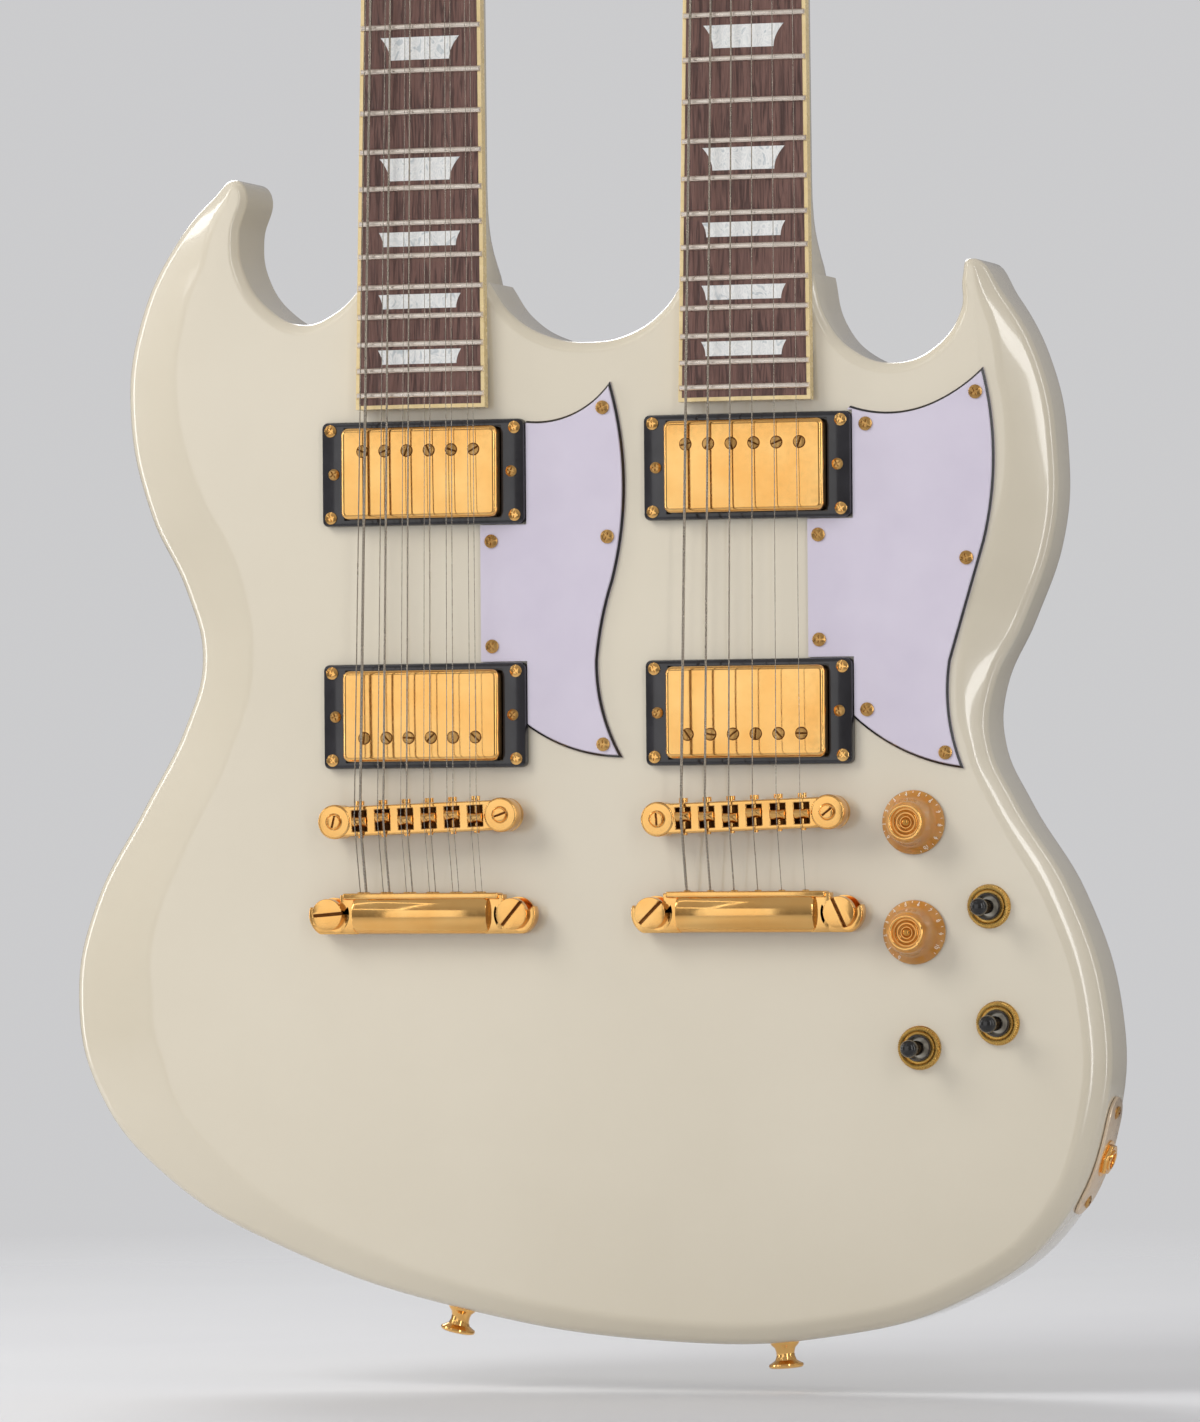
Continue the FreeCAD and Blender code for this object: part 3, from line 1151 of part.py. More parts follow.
def string_solid(points, radius):
    """Four-sided wire through points, cut square to the necks."""
    rings = []
    for point in points:
        corners = []
        for step in range(FOUR_SIDES + 1):
            angle = 2 * math.pi * step / FOUR_SIDES
            corners.append(point + FreeCAD.Vector(math.cos(angle), math.sin(angle), 0) * radius)
        rings.append(Part.makePolygon(corners))
    return Part.makeLoft(rings, True, True)


def make_strings():
    """Twelve and six strings from the tailpiece over saddle and nut to the tuner posts."""
    front = -size("body_thickness")
    solids = []
    for side, count in ((LEFT, 2 * COURSES), (RIGHT, COURSES)):
        middle = side * size("neck_spacing") / 2
        half = count // 2
        lean = math.radians(size("neck_angle"))
        tilt = lean + math.radians(size("head_angle"))
        nut_end = size("scale_length") + size("nut_thickness")
        pitch = size("peg_pitch_twelve") if count == 2 * COURSES else size("peg_pitch_six")
        for index, (share, step, gauge) in enumerate(string_table(count)):
            radius = gauge * size("string_gauge")
            at_nut = share * size("string_spread_nut") + step / 2 * size("course_gap_nut")
            at_bridge = share * size("string_spread_bridge") + step / 2 * size("course_gap_bridge")
            number = index if index < half else count - 1 - index
            hand = LEFT if index < half else RIGHT
            tail_y = front - size("tail_underside") - size("tail_hole_rise")
            tail_z = size("tail_line") + size("tail_width") / 2 - size("string_tuck")
            points = [FreeCAD.Vector(middle + at_bridge, tail_y, tail_z)]
            bridge_z = size("bridge_line") + at_bridge * math.sin(math.radians(size("bridge_slant")))
            ridge = size("string_rise_bridge") - 2 * size("string_gauge")
            lift = ridge + size("string_seat_gap") + radius
            points.append(FreeCAD.Vector(middle + at_bridge, front - lift, bridge_z))
            out = size("nut_slot_floor") + radius
            board_y = front - size("board_rise")
            points.append(FreeCAD.Vector(middle + at_nut,
                                         board_y + nut_end * math.sin(lean) - out * math.cos(lean),
                                         nut_end * math.cos(lean) + out * math.sin(lean)))
            along = size("peg_first") + number * pitch
            post_x = hand * (size("peg_offset") - size("peg_radius") - radius)
            depth = size("head_drop") * math.cos(lean) + nut_end * math.sin(lean) + along * math.sin(tilt)
            up = nut_end * math.cos(lean) - size("head_drop") * math.sin(lean) + along * math.cos(tilt)
            rise = size("string_rise_post")
            points.append(FreeCAD.Vector(middle + post_x, board_y + depth - rise * math.cos(tilt),
                                         up + rise * math.sin(tilt)))
            solids.append(string_solid(points, radius))
    return keep("strings", shaped("strings", Part.makeCompound(solids)))


def make_controls():
    """Knobs on their shafts, and the potentiometers that carry them."""
    lift = size("knob_lift")
    waist = lift + size("knob_skirt")
    solid = frustum("knob_solid", TWENTY_SIDES, [(size("knob_radius"), lift), (size("knob_radius"), waist),
                                                 (size("knob_waist_radius"), waist),
                                                 (size("knob_top_radius"), lift + size("knob_height"))])
    recess = flat_peg("knob_recess", EIGHT_SIDES, "knob_recess_radius", "knob_recess_depth + overrun", "0",
                      "-knob_lift + overrun")
    seat = flat_peg("knob_seat", EIGHT_SIDES, "shaft_radius / cos(180 / %d)" % EIGHT_SIDES, "shaft_seat", "0",
                    "-(knob_lift + knob_recess_depth)")
    knob = cut("knob", solid, [recess, seat])
    shaft = peg("control_shaft", "shaft_radius",
                "knob_lift + knob_recess_depth + shaft_seat + control_top + pot_depth / 2", "0",
                "control_top + pot_depth / 2")
    case = flat_peg("pot_case", EIGHT_SIDES, "pot_radius", "pot_depth", "0", "control_top + pot_depth")
    sleeve = flat_peg("pot_sleeve", EIGHT_SIDES, "pot_bushing_radius", "control_top + pot_bushing_rise", "0",
                      "control_top")
    bore = flat_peg("pot_bore", TWELVE_SIDES, "(shaft_radius + shaft_clearance) / cos(180 / %d)" % TWELVE_SIDES,
                    "pot_bushing_rise + control_top + pot_depth / 2 + shaft_clearance + overrun", "0",
                    "control_top + pot_depth / 2 + shaft_clearance")
    pot = cut("potentiometer", fuse("pot_solid", [case, sleeve]), [bore])
    pots = []
    for name in ("volume", "tone"):
        line = name + "_line"
        for label, base in ((name + "_knob", knob), (name + "_shaft", shaft)):
            keep(label, move(group(label, [base]), "knob_across", "-body_thickness", line))
        pots.append(copy_of(name + "_pot", pot, "knob_across", "-body_thickness", line))
    keep("potentiometers", group("potentiometers", pots))


def make_switches():
    """Three lever switches: case with sleeve and nut, and a lever that tips."""
    case = box("switch_case", "switch_case_width", "switch_case_depth", "switch_case_width", "0",
               "control_top + switch_case_depth")
    sleeve = flat_peg("switch_sleeve", EIGHT_SIDES, "switch_sleeve_radius", "control_top + switch_nut_height",
                      "0", "control_top")
    bore = flat_peg("switch_bore", EIGHT_SIDES, "switch_bore_radius",
                    "switch_nut_height + lever_sink + screw_clearance + overrun", "0",
                    "lever_sink + screw_clearance")
    nut = flat_peg("switch_nut", TWELVE_SIDES, "switch_nut_radius", "switch_nut_height", "0", "0")
    thread = flat_peg("switch_nut_thread", EIGHT_SIDES, "switch_sleeve_radius",
                      "switch_nut_height + 2 * overrun", "0", "overrun")
    ring = cut("switch_ring", nut, [thread])
    base = group("switch_set", [cut("switch_housing", fuse("switch_solid", [case, sleeve]), [bore]), ring])
    sink = size("lever_sink")
    tip = size("lever_tip_radius")
    reach = size("lever_reach") - sink
    foot = size("lever_foot_radius")
    lever = frustum("lever", EIGHT_SIDES, [(foot / 4, -sink), (foot, foot * 2 / 5 - sink),
                                           (tip, reach - tip / 2), (tip / 2, reach)])
    placed = []
    for place in ("high", "low", "inner"):
        across = "switch_%s_across" % place
        line = "switch_%s_line" % place
        placed.append(copy_of("switch_" + place, base, across, "-body_thickness", line))
        label = "switch_lever_" + place
        keep(label, move(group(label, [lever]), across, "-body_thickness", line))
    keep("switches", group("switches", placed))


def on_side(piece):
    """Seat a piece that rises towards the front on the lower right wall, pointing out."""
    across, along, drift = JACK_SHARES
    slope = math.atan2(drift * size("body_half_width"), size("body_half_length"))
    turned = FreeCAD.Rotation(FreeCAD.Vector(0, 1, 0), math.degrees(slope))
    turned = turned.multiply(FreeCAD.Rotation(FreeCAD.Vector(0, 0, 1), 90))
    piece.Placement = FreeCAD.Placement(FreeCAD.Vector(), turned)
    return move(piece, "%g * body_half_width" % across, "-body_thickness / 2", "%g * body_half_length" % along)


def jack_tools():
    """Well in the wall behind the jack plate."""
    well = flat_peg("jack_well", TWELVE_SIDES, "jack_well_radius", "jack_well_depth + overrun", "0",
                    "jack_well_depth")
    return [on_side(group("jack_well_placed", [well]))]


def wall_band():
    """Band that follows the curved wall round the jack, the thickness of the jack plate."""
    loop = outline_points()
    across, along, drift = JACK_SHARES
    jack = FreeCAD.Vector(across * size("body_half_width"), 0, along * size("body_half_length"))
    reach = size("plate_length") / 2 + 2 * size("outline_step")
    near = [place for place in (FreeCAD.Vector(x, 0, z) for x, z, bevel in loop)
            if place.distanceToPoint(jack) < reach]
    inner = []
    outer = []
    for before, place, after in zip(near[:-2], near[1:-1], near[2:]):
        along = (after - before).normalize()
        outward = FreeCAD.Vector(along.z, 0, -along.x)
        inner.append(place + outward * size("plate_gap"))
        outer.append(inner[-1] + outward * size("plate_thickness"))
    face = Part.Face(Part.makePolygon(inner + outer[::-1] + inner[:1]))
    return shaped("wall_band", face.extrude(FreeCAD.Vector(0, -size("body_thickness"), 0)))


def make_jack():
    """Oval jack plate bent to the wall, with the jack's barrel and nut."""
    square = box("plate_square", "plate_width", "plate_length", "plate_length", "0", "plate_length / 2")
    oval = eased("plate_oval", square, size("plate_corner"), runs_along("y"))
    hole = flat_peg("plate_hole", EIGHT_SIDES, "jack_barrel_radius + joint_gap", "plate_length", "0",
                    "plate_length / 2")
    pill = on_side(group("plate_pill", [oval]))
    keep("jack_plate", cut("jack_plate", common("plate_bent", wall_band(), pill),
                           [on_side(group("plate_hole_placed", [hole]))]))
    face = "(plate_gap + plate_thickness)"
    barrel = flat_peg("jack_barrel", EIGHT_SIDES, "jack_barrel_radius", "jack_barrel_length", "0",
                      "jack_barrel_length - jack_nut_height - %s" % face)
    frame = flat_peg("jack_frame", EIGHT_SIDES, "jack_well_radius - overrun", "plate_thickness", "0",
                     "2 * plate_thickness")
    nut = flat_peg("jack_nut", SIX_SIDES, "jack_nut_radius", "jack_nut_height", "0", "-" + face)
    bore = peg("jack_bore", "jack_bore_radius", "jack_barrel_length + 2 * overrun", "0",
               "jack_barrel_length - jack_nut_height - %s + overrun" % face)
    socket = cut("socket", fuse("socket_solid", [barrel, frame, nut]), [bore])
    return keep("output_jack", on_side(group("output_jack", [socket])))


def check(pieces):
    """Stop on any failed object or bad shape."""
    doc.recompute()
    for item in doc.Objects:
        if "Invalid" in item.State or "Error" in item.State:
            raise RuntimeError("%s failed: %s" % (item.Name, item.State))
    for piece in pieces:
        if piece.Shape.isNull() or not piece.Shape.isValid():
            raise RuntimeError("%s has a bad shape" % piece.Label)


make_body()
make_control_cover()
make_strap_buttons()
make_neck("neck_12", LEFT, 2 * COURSES, "head_length_twelve")
make_neck("neck_6", RIGHT, COURSES, "head_length_six")
make_fretboards()
make_nuts()
make_truss_covers()
make_tuners()
make_pickguard("pickguard_12", LEFT, "guard_reach_left", "guard_edge_left",
               [LEFT_GUARD_TOP_SHARES, LEFT_GUARD_SIDE_SHARES, LEFT_GUARD_FOOT_SHARES])
make_pickguard("pickguard_6", RIGHT, "guard_reach_right", "guard_edge_right",
               [RIGHT_GUARD_TOP_SHARES, RIGHT_GUARD_SIDE_SHARES, RIGHT_GUARD_FOOT_SHARES])
make_pickups()
make_bridges()
make_tailpieces()
make_strings()
make_controls()
make_switches()
make_jack()
check(nodes)

os.makedirs("parts", exist_ok=True)
for node in nodes:
    node.Shape.exportStep("parts/%s.step" % node.Label)
    print(node.Label, len(node.Shape.Solids), "solids", round(node.Shape.Volume))
print(len(nodes), "nodes")
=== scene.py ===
"""Looks of a double-neck electric guitar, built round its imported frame.

Lengths in the classes are millimetres; a finished mesh is scaled to metres.
X runs to the right of the body, the front faces -Y and the necks point up Z.
"""

import logging
import math
from dataclasses import dataclass
from enum import Enum
from typing import Callable, Iterable, Optional, Sequence

import bmesh
import bpy
from mathutils import Matrix, Vector


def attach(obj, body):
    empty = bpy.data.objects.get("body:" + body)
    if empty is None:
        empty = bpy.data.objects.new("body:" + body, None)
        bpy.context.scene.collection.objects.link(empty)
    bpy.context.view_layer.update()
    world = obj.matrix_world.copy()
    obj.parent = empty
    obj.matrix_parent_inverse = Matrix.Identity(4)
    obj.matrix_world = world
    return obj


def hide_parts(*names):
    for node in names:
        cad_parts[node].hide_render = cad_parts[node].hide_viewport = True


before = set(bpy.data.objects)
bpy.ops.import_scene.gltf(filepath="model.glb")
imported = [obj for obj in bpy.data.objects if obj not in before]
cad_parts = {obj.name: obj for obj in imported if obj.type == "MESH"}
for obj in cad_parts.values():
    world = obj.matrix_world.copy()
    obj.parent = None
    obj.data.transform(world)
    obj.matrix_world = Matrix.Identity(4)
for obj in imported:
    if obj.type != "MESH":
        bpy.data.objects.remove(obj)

LOG = logging.getLogger("double_neck_guitar")
MM = 0.001
ROOT = "guitar"
FRONT = -38.0
NECK_OFFSET = 71.5
SCALE_LENGTH = 628.0
BOARD_RISE = 12.1
MIDDLE = FRONT / 2
LEAN = 1.46
HEAD_LEAN = LEAN + 14.0
NUT_THICKNESS = 4.5
HALF_NUT = 23.2
HALF_END = 28.8
HEAD_THICKNESS = 14.5
PEG_FIRST = 38.0
PEG_OFFSET = 25.0
BRIDGE_LINE = -3.2
BRIDGE_SLANT = 1.9
TAIL_LINE = -43.7
STRING_SPREAD = 51.6
COURSES = 6
ENDS = (-1, 1)
NEAR = 0.001

Pick = Callable[[bmesh.types.BMEdge], bool]
Pair = tuple[float, float]
Triple = tuple[float, float, float]
Four = tuple[float, float, float, float]
Stops = Sequence[tuple[float, Triple]]
Socket = bpy.types.NodeSocket


class Side(Enum):
    """The two necks."""

    TWELVE = -1
    SIX = 1

    @property
    def middle(self) -> float:
        """Place of the neck's centre line across the body."""
        return self.value * NECK_OFFSET

    @property
    def strings(self) -> int:
        """Number of strings on the neck."""
        return 12 if self is Side.TWELVE else 6

    @property
    def tag(self) -> str:
        """Name of the neck in piece names."""
        return str(self.strings)

    @property
    def pitch(self) -> float:
        """Distance between two tuners on one edge of the headstock."""
        return 28.5 if self is Side.TWELVE else 44.0


class Pattern(Enum):
    """What varies over a finish."""

    LACQUER = "lacquer"
    PLATING = "plating"
    GRAIN = "grain"
    PEARL = "pearl"
    PLASTIC = "plastic"
    PLIES = "plies"
    AMBER = "amber"
    WINDING = "winding"
    PLAIN_METAL = "plain metal"


def shift_by(x: float = 0.0, y: float = 0.0, z: float = 0.0) -> Matrix:
    """Matrix that moves along each axis."""
    return Matrix.Translation((x, y, z))


def turn_by(degrees: float, axis: str) -> Matrix:
    """Matrix that turns about an axis."""
    return Matrix.Rotation(math.radians(degrees), 4, axis)


def course_share(course: int) -> float:
    """Place of a course across its neck, as a share of the spread from the middle."""
    return course / (COURSES - 1) - 0.5


def taper(along: float, end: float) -> float:
    """Half of a neck's width at a place along it, where the wide end has its own place."""
    return HALF_END + (HALF_NUT - HALF_END) * (along - end) / (SCALE_LENGTH - end)


def front_place(x: float, z: float, rise: float = 0.0, turn: float = 0.0) -> Matrix:
    """Place on the body's front, with local Z pointing out of it.

    Args:
        x: place across the body.
        z: place along the body.
        rise: distance in front of the face.
        turn: turn about the way out, in degrees.

    Returns:
        The matrix from local millimetres to the model.
    """
    spin = turn_by(turn, "Z")
    return shift_by(x, FRONT - rise, z) @ turn_by(90, "X") @ spin


def neck_place(side: Side) -> Matrix:
    """Matrix of a neck: origin on the fretboard's crown at the scale line, Z to the nut, Y backwards."""
    return shift_by(side.middle, FRONT - BOARD_RISE, 0) @ turn_by(-LEAN, "X")


def head_place(side: Side) -> Matrix:
    """Matrix of a headstock: origin on its face at the nut, Z to its crown, Y backwards."""
    root = neck_place(side) @ Vector((0, 2.5, SCALE_LENGTH + NUT_THICKNESS))
    return Matrix.Translation(root) @ turn_by(-HEAD_LEAN, "X")


def upright(edge: bmesh.types.BMEdge) -> bool:
    """Whether an edge runs up Z."""
    return abs(edge.verts[0].co.z - edge.verts[1].co.z) > 1


class Form:
    """A mesh in millimetres that is shaped step by step."""

    def __init__(self) -> None:
        """Start an empty form."""
        self.bm = bmesh.new()

    @classmethod
    def turned(cls, profile: Sequence[Pair], steps: int = 40) -> "Form":
        """Turn a profile about Z.

        Args:
            profile: radius and height of each point, from one end to the other.
            steps: number of steps round.

        Returns:
            The turned form.
        """
        form = cls()
        verts = [form.bm.verts.new((radius, 0, height)) for radius, height in profile]
        edges = [form.bm.edges.new(pair) for pair in zip(verts, verts[1:])]
        bmesh.ops.spin(form.bm, geom=verts + edges, cent=(0, 0, 0), axis=(0, 0, 1), angle=math.tau,
                       steps=steps, use_merge=True)
        bmesh.ops.remove_doubles(form.bm, verts=form.bm.verts, dist=0.0005)
        return form

    @classmethod
    def block(cls, across: float, along: float, rise: float, base: float = 0.0) -> "Form":
        """Block centred on X and Y that stands from a base up Z.

        Args:
            across: size along X.
            along: size along Y.
            rise: height.
            base: height of its foot.

        Returns:
            The form.
        """
        form = cls()
        bmesh.ops.create_cube(form.bm, size=1)
        bmesh.ops.scale(form.bm, vec=(across, along, rise), verts=form.bm.verts)
        bmesh.ops.translate(form.bm, vec=(0, 0, base + rise / 2), verts=form.bm.verts)
        return form

    @classmethod
    def pin(cls, radius: float, rise: float, base: float = 0.0, steps: int = 32,
            top: Optional[float] = None) -> "Form":
        """Pin that stands from a base up Z, tapered where a top radius is given.

        Args:
            radius: radius at the foot.
            rise: height.
            base: height of its foot.
            steps: number of sides.
            top: radius at the top, if it differs.

        Returns:
            The form.
        """
        form = cls()
        bmesh.ops.create_cone(form.bm, cap_ends=True, segments=steps, radius1=radius,
                              radius2=radius if top is None else top, depth=rise)
        bmesh.ops.translate(form.bm, vec=(0, 0, base + rise / 2), verts=form.bm.verts)
        return form

    @classmethod
    def disc(cls, radius: float, steps: int = 28) -> "Form":
        """Flat disc at height nought.

        Args:
            radius: its radius.
            steps: number of sides.

        Returns:
            The form.
        """
        form = cls()
        bmesh.ops.create_circle(form.bm, cap_ends=True, segments=steps, radius=radius)
        return form

    @classmethod
    def sheet(cls, points: Sequence[Pair], rise: float) -> "Form":
        """Flat plate of an outline in X and Y, raised up Z.

        Args:
            points: the outline, in order.
            rise: thickness.

        Returns:
            The form.
        """
        form = cls()
        verts = [form.bm.verts.new((x, y, 0)) for x, y in points]
        face = form.bm.faces.new(verts)
        form.bm.normal_update()
        form.lift([face], rise)
        return form

    @classmethod
    def slotted(cls, radius: float, rise: float, slot: float, depth: float, steps: int = 28) -> "Form":
        """Screw head with a straight slot.

        Args:
            radius: radius of the head.
            rise: height.
            slot: width of the slot.
            depth: depth of the slot.
            steps: number of sides.

        Returns:
            The form.
        """
        form = cls.disc(radius, steps).cut(0, (-slot / 2, slot / 2))
        form.lift(list(form.bm.faces), rise - depth)
        form.lift([face for face in form.above(rise - depth - NEAR)
                   if abs(face.calc_center_median().x) > slot / 2], depth)
        form.bevel(min(0.5, radius * 0.12), 3, lambda edge: all(
            vert.co.z > rise - NEAR and vert.co.xy.length > radius * 0.99 for vert in edge.verts))
        form.cut(0, (0,))
        for vert in form.bm.verts:
            if abs(vert.co.x) < NEAR and abs(vert.co.z - rise + depth) < NEAR:
                vert.co.z -= min(depth * 0.7, (rise - depth) * 0.8)
        return form

    @classmethod
    def slot_strip(cls, radius: float, rise: float, slot: float, depth: float) -> "Form":
        """Dark strip on the floor of a slotted head's slot, which paints the shade in the slot."""
        return cls.block(slot * 0.9, radius * 1.94, depth * 0.5, rise - depth * 1.25)

    @classmethod
    def crossed(cls, radius: float, rise: float) -> "Form":
        """Domed screw head with a cross recess.

        Args:
            radius: radius of the head.
            rise: height.

        Returns:
            The form.
        """
        form = cls.disc(radius, 24)
        top = form.lift(list(form.bm.faces), rise * 0.55)
        bmesh.ops.inset_region(form.bm, faces=top, thickness=radius * 0.38, depth=rise * 0.45)
        arm = radius * 0.13
        for axis in ((1, 0, 0), (0, 1, 0)):
            for end in ENDS:
                inner = form.above(rise * 0.95)
                edges = {edge for face in inner for edge in face.edges}
                verts = {vert for face in inner for vert in face.verts}
                bmesh.ops.bisect_plane(form.bm, geom=inner + list(edges) + list(verts),
                                       plane_co=Vector(axis) * arm * end, plane_no=axis)
        form.lift([face for face in form.above(rise * 0.95)
                   if min(map(abs, face.calc_center_median().xy)) < arm * 0.9], -rise * 0.7)
        return form

    def cut(self, axis: int, places: Iterable[float]) -> "Form":
        """Cut every face across an axis.

        Args:
            axis: nought for X, one for Y.
            places: where the cuts lie.

        Returns:
            The same form.
        """
        normal = Vector((0, 0, 0))
        normal[axis] = 1
        for place in places:
            geom = list(self.bm.verts) + list(self.bm.edges) + list(self.bm.faces)
            bmesh.ops.bisect_plane(self.bm, geom=geom, plane_co=normal * place, plane_no=normal)
        return self

    def above(self, level: float, reach: float = math.inf) -> list[bmesh.types.BMFace]:
        """Faces whose middle lies above a level.

        Args:
            level: the height.
            reach: how far from Z the middle may lie, across and along.

        Returns:
            The faces.
        """
        middles = [(face, face.calc_center_median()) for face in self.bm.faces]
        return [face for face, middle in middles
                if middle.z > level and max(abs(middle.x), abs(middle.y)) < reach]

    def lift(self, faces: list[bmesh.types.BMFace], rise: float) -> list[bmesh.types.BMFace]:
        """Extrude faces along Z.

        Args:
            faces: the faces to extrude together.
            rise: how far they move.

        Returns:
            The moved faces.
        """
        edges = list({edge for face in faces for edge in face.edges})
        made = bmesh.ops.extrude_face_region(self.bm, geom=faces + edges)["geom"]
        verts = [item for item in made if isinstance(item, bmesh.types.BMVert)]
        bmesh.ops.translate(self.bm, vec=(0, 0, rise), verts=verts)
        return [item for item in made if isinstance(item, bmesh.types.BMFace)]

    def bevel(self, width: float, segments: int, pick: Pick, clamp: bool = True) -> "Form":
        """Bevel the edges that a test picks.

        Args:
            width: width of the bevel.
            segments: number of steps in it.
            pick: test for one edge.
            clamp: keep the bevels from running over each other.

        Returns:
            The same form.
        """
        edges = [edge for edge in self.bm.edges if pick(edge)]
        bmesh.ops.bevel(self.bm, geom=edges, offset=width, offset_type="OFFSET", segments=segments,
                        profile=0.5, affect="EDGES", clamp_overlap=clamp, material=-1)
        return self

    def sharp(self, width: float, segments: int = 2, angle: float = 40.0) -> "Form":
        """Bevel every edge that is sharper than an angle.

        Args:
            width: width of the bevel.
            segments: number of steps in it.
            angle: the angle, in degrees.

        Returns:
            The same form.
        """
        self.bm.normal_update()
        limit = math.radians(angle)
        return self.bevel(width, segments, lambda edge: edge.is_manifold and edge.calc_face_angle(0) > limit)

    def placed(self, matrix: Matrix) -> "Form":
        """Move the form by a matrix."""
        bmesh.ops.transform(self.bm, matrix=matrix, verts=self.bm.verts)
        return self

    def at(self, x: float = 0.0, y: float = 0.0, z: float = 0.0) -> "Form":
        """Shift the form."""
        return self.placed(shift_by(x, y, z))

    def moved(self, change: Callable[[Vector], Vector]) -> "Form":
        """Move each vertex by a rule.

        Args:
            change: new place of a vertex for its old one.

        Returns:
            The same form.
        """
        for vert in self.bm.verts:
            vert.co = change(vert.co)
        return self

    def joined(self, *others: "Form") -> "Form":
        """Take other forms into this one.

        Args:
            others: the other forms, which are used up.

        Returns:
            The same form.
        """
        for other in others:
            spare = bpy.data.meshes.new("spare")
            other.bm.to_mesh(spare)
            self.bm.from_mesh(spare)
            bpy.data.meshes.remove(spare)
            other.bm.free()
        return self

    def mesh(self, name: str, outward: bool = True) -> bpy.types.Mesh:
        """Close the form and write it as a mesh in metres.

        Args:
            name: name of the mesh.
            outward: recalculate the normals to point outwards.

        Returns:
            The new mesh.
        """
        bmesh.ops.remove_doubles(self.bm, verts=self.bm.verts, dist=0.0005)
        if outward:
            bmesh.ops.recalc_face_normals(self.bm, faces=self.bm.faces)
        bmesh.ops.scale(self.bm, vec=(MM, MM, MM), verts=self.bm.verts)
        mesh = bpy.data.meshes.new(name)
        self.bm.to_mesh(mesh)
        self.bm.free()
        return mesh


def add_node(tree: bpy.types.NodeTree, kind: str, **values: object) -> bpy.types.Node:
    """Add a node to a tree.

    Args:
        tree: the node tree.
        kind: kind of node, without its common beginning.
        values: constants on the node's sockets, named with underscores for spaces.

    Returns:
        The new node.
    """
    node = tree.nodes.new("ShaderNode" + kind)
    for name, value in values.items():
        node.inputs[name.replace("_", " ")].default_value = value
    return node


class Paint:
    """Node tree of one finish while it is put together."""

    def __init__(self, name: str) -> None:
        """Start a material with a shader and the object's own coordinates.

        Args:
            name: name of the material.
        """
        self.material = bpy.data.materials.new(name)
        self.material.use_nodes = True
        self.tree = self.material.node_tree
        self.tree.nodes.clear()
        self.link = self.tree.links.new
        self.output = self.node("OutputMaterial")
        self.shader = self.node("BsdfPrincipled")
        self.link(self.shader.outputs["BSDF"], self.output.inputs["Surface"])
        self.coordinates = self.node("TexCoord").outputs["Object"]

    def node(self, kind: str, **values: object) -> bpy.types.Node:
        """Add a node with constants on its sockets."""
        return add_node(self.tree, kind, **values)

    def set(self, **values: object) -> None:
        """Set constants on the shader's own sockets, named with underscores for spaces."""
        for name, value in values.items():
            self.shader.inputs[name.replace("_", " ")].default_value = value

    def stretched(self, x: float, y: float, z: float, turn: float = 0.0) -> Socket:
        """Object coordinates scaled along each axis.

        Args:
            x: scale along X.
            y: scale along Y.
            z: scale along Z.
            turn: turn about Y, in degrees.

        Returns:
            The coordinates' socket.
        """
        node = self.node("Mapping", Scale=(x, y, z), Rotation=(0, math.radians(turn), 0))
        self.link(self.coordinates, node.inputs["Vector"])
        return node.outputs["Vector"]

    def noise(self, scale: float, detail: float, vector: Optional[Socket] = None,
              twist: float = 0.0) -> Socket:
        """Noise over the object.

        Args:
            scale: repeats per metre.
            detail: finer octaves.
            vector: coordinates, or the object's own where none are given.
            twist: distortion.

        Returns:
            The noise value's socket.
        """
        node = self.node("TexNoise", Scale=scale, Detail=detail, Distortion=twist)
        self.link(vector or self.coordinates, node.inputs["Vector"])
        return node.outputs["Fac"]

    def cells(self, scale: float) -> Socket:
        """Colour of random cells over the object.

        Args:
            scale: repeats per metre.

        Returns:
            The colour's socket.
        """
        node = self.node("TexVoronoi", Scale=scale)
        self.link(self.coordinates, node.inputs["Vector"])
        return node.outputs["Color"]

    def ramp(self, value: Socket, stops: Stops) -> Socket:
        """Colours along a value.

        Args:
            value: the value to follow.
            stops: position and linear colour of each stop.

        Returns:
            The colour's socket.
        """
        node = self.node("ValToRGB")
        elements = node.color_ramp.elements
        while len(elements) < len(stops):
            elements.new(0.5)
        for element, (position, colour) in zip(elements, stops):
            element.position = position
            element.color = (*colour, 1)
        self.link(value, node.inputs["Fac"])
        return node.outputs["Color"]

    def axis(self, index: int) -> Socket:
        """One of the object's coordinates.

        Args:
            index: nought for X, one for Y, two for Z.

        Returns:
            The coordinate's socket.
        """
        node = self.node("SeparateXYZ")
        self.link(self.coordinates, node.inputs["Vector"])
        return node.outputs[index]

    def span(self, value: Socket, low: float, high: float, start: float = 0.0, end: float = 1.0) -> Socket:
        """Map a value from one range to another.

        Args:
            value: the value.
            low: start of its range.
            high: end of its range.
            start: start of the new range.
            end: end of the new range.

        Returns:
            The new value's socket.
        """
        node = self.node("MapRange", From_Min=low, From_Max=high, To_Min=start, To_Max=end)
        self.link(value, node.inputs["Value"])
        return node.outputs["Result"]

    def colour(self, socket: Socket) -> None:
        """Drive the base colour."""
        self.link(socket, self.shader.inputs["Base Color"])

    def rough(self, socket: Socket, low: float, high: float) -> None:
        """Drive the roughness between two values."""
        self.link(self.span(socket, 0.3, 0.7, low, high), self.shader.inputs["Roughness"])

    def bump(self, socket: Socket, depth: float, strength: float) -> None:
        """Drive the surface's relief.

        Args:
            socket: height from nought to one.
            depth: height of a full step, in metres.
            strength: share of the relief that shows.
        """
        node = self.node("Bump", Strength=strength, Distance=depth)
        self.link(socket, node.inputs["Height"])
        self.link(node.outputs["Normal"], self.shader.inputs["Normal"])


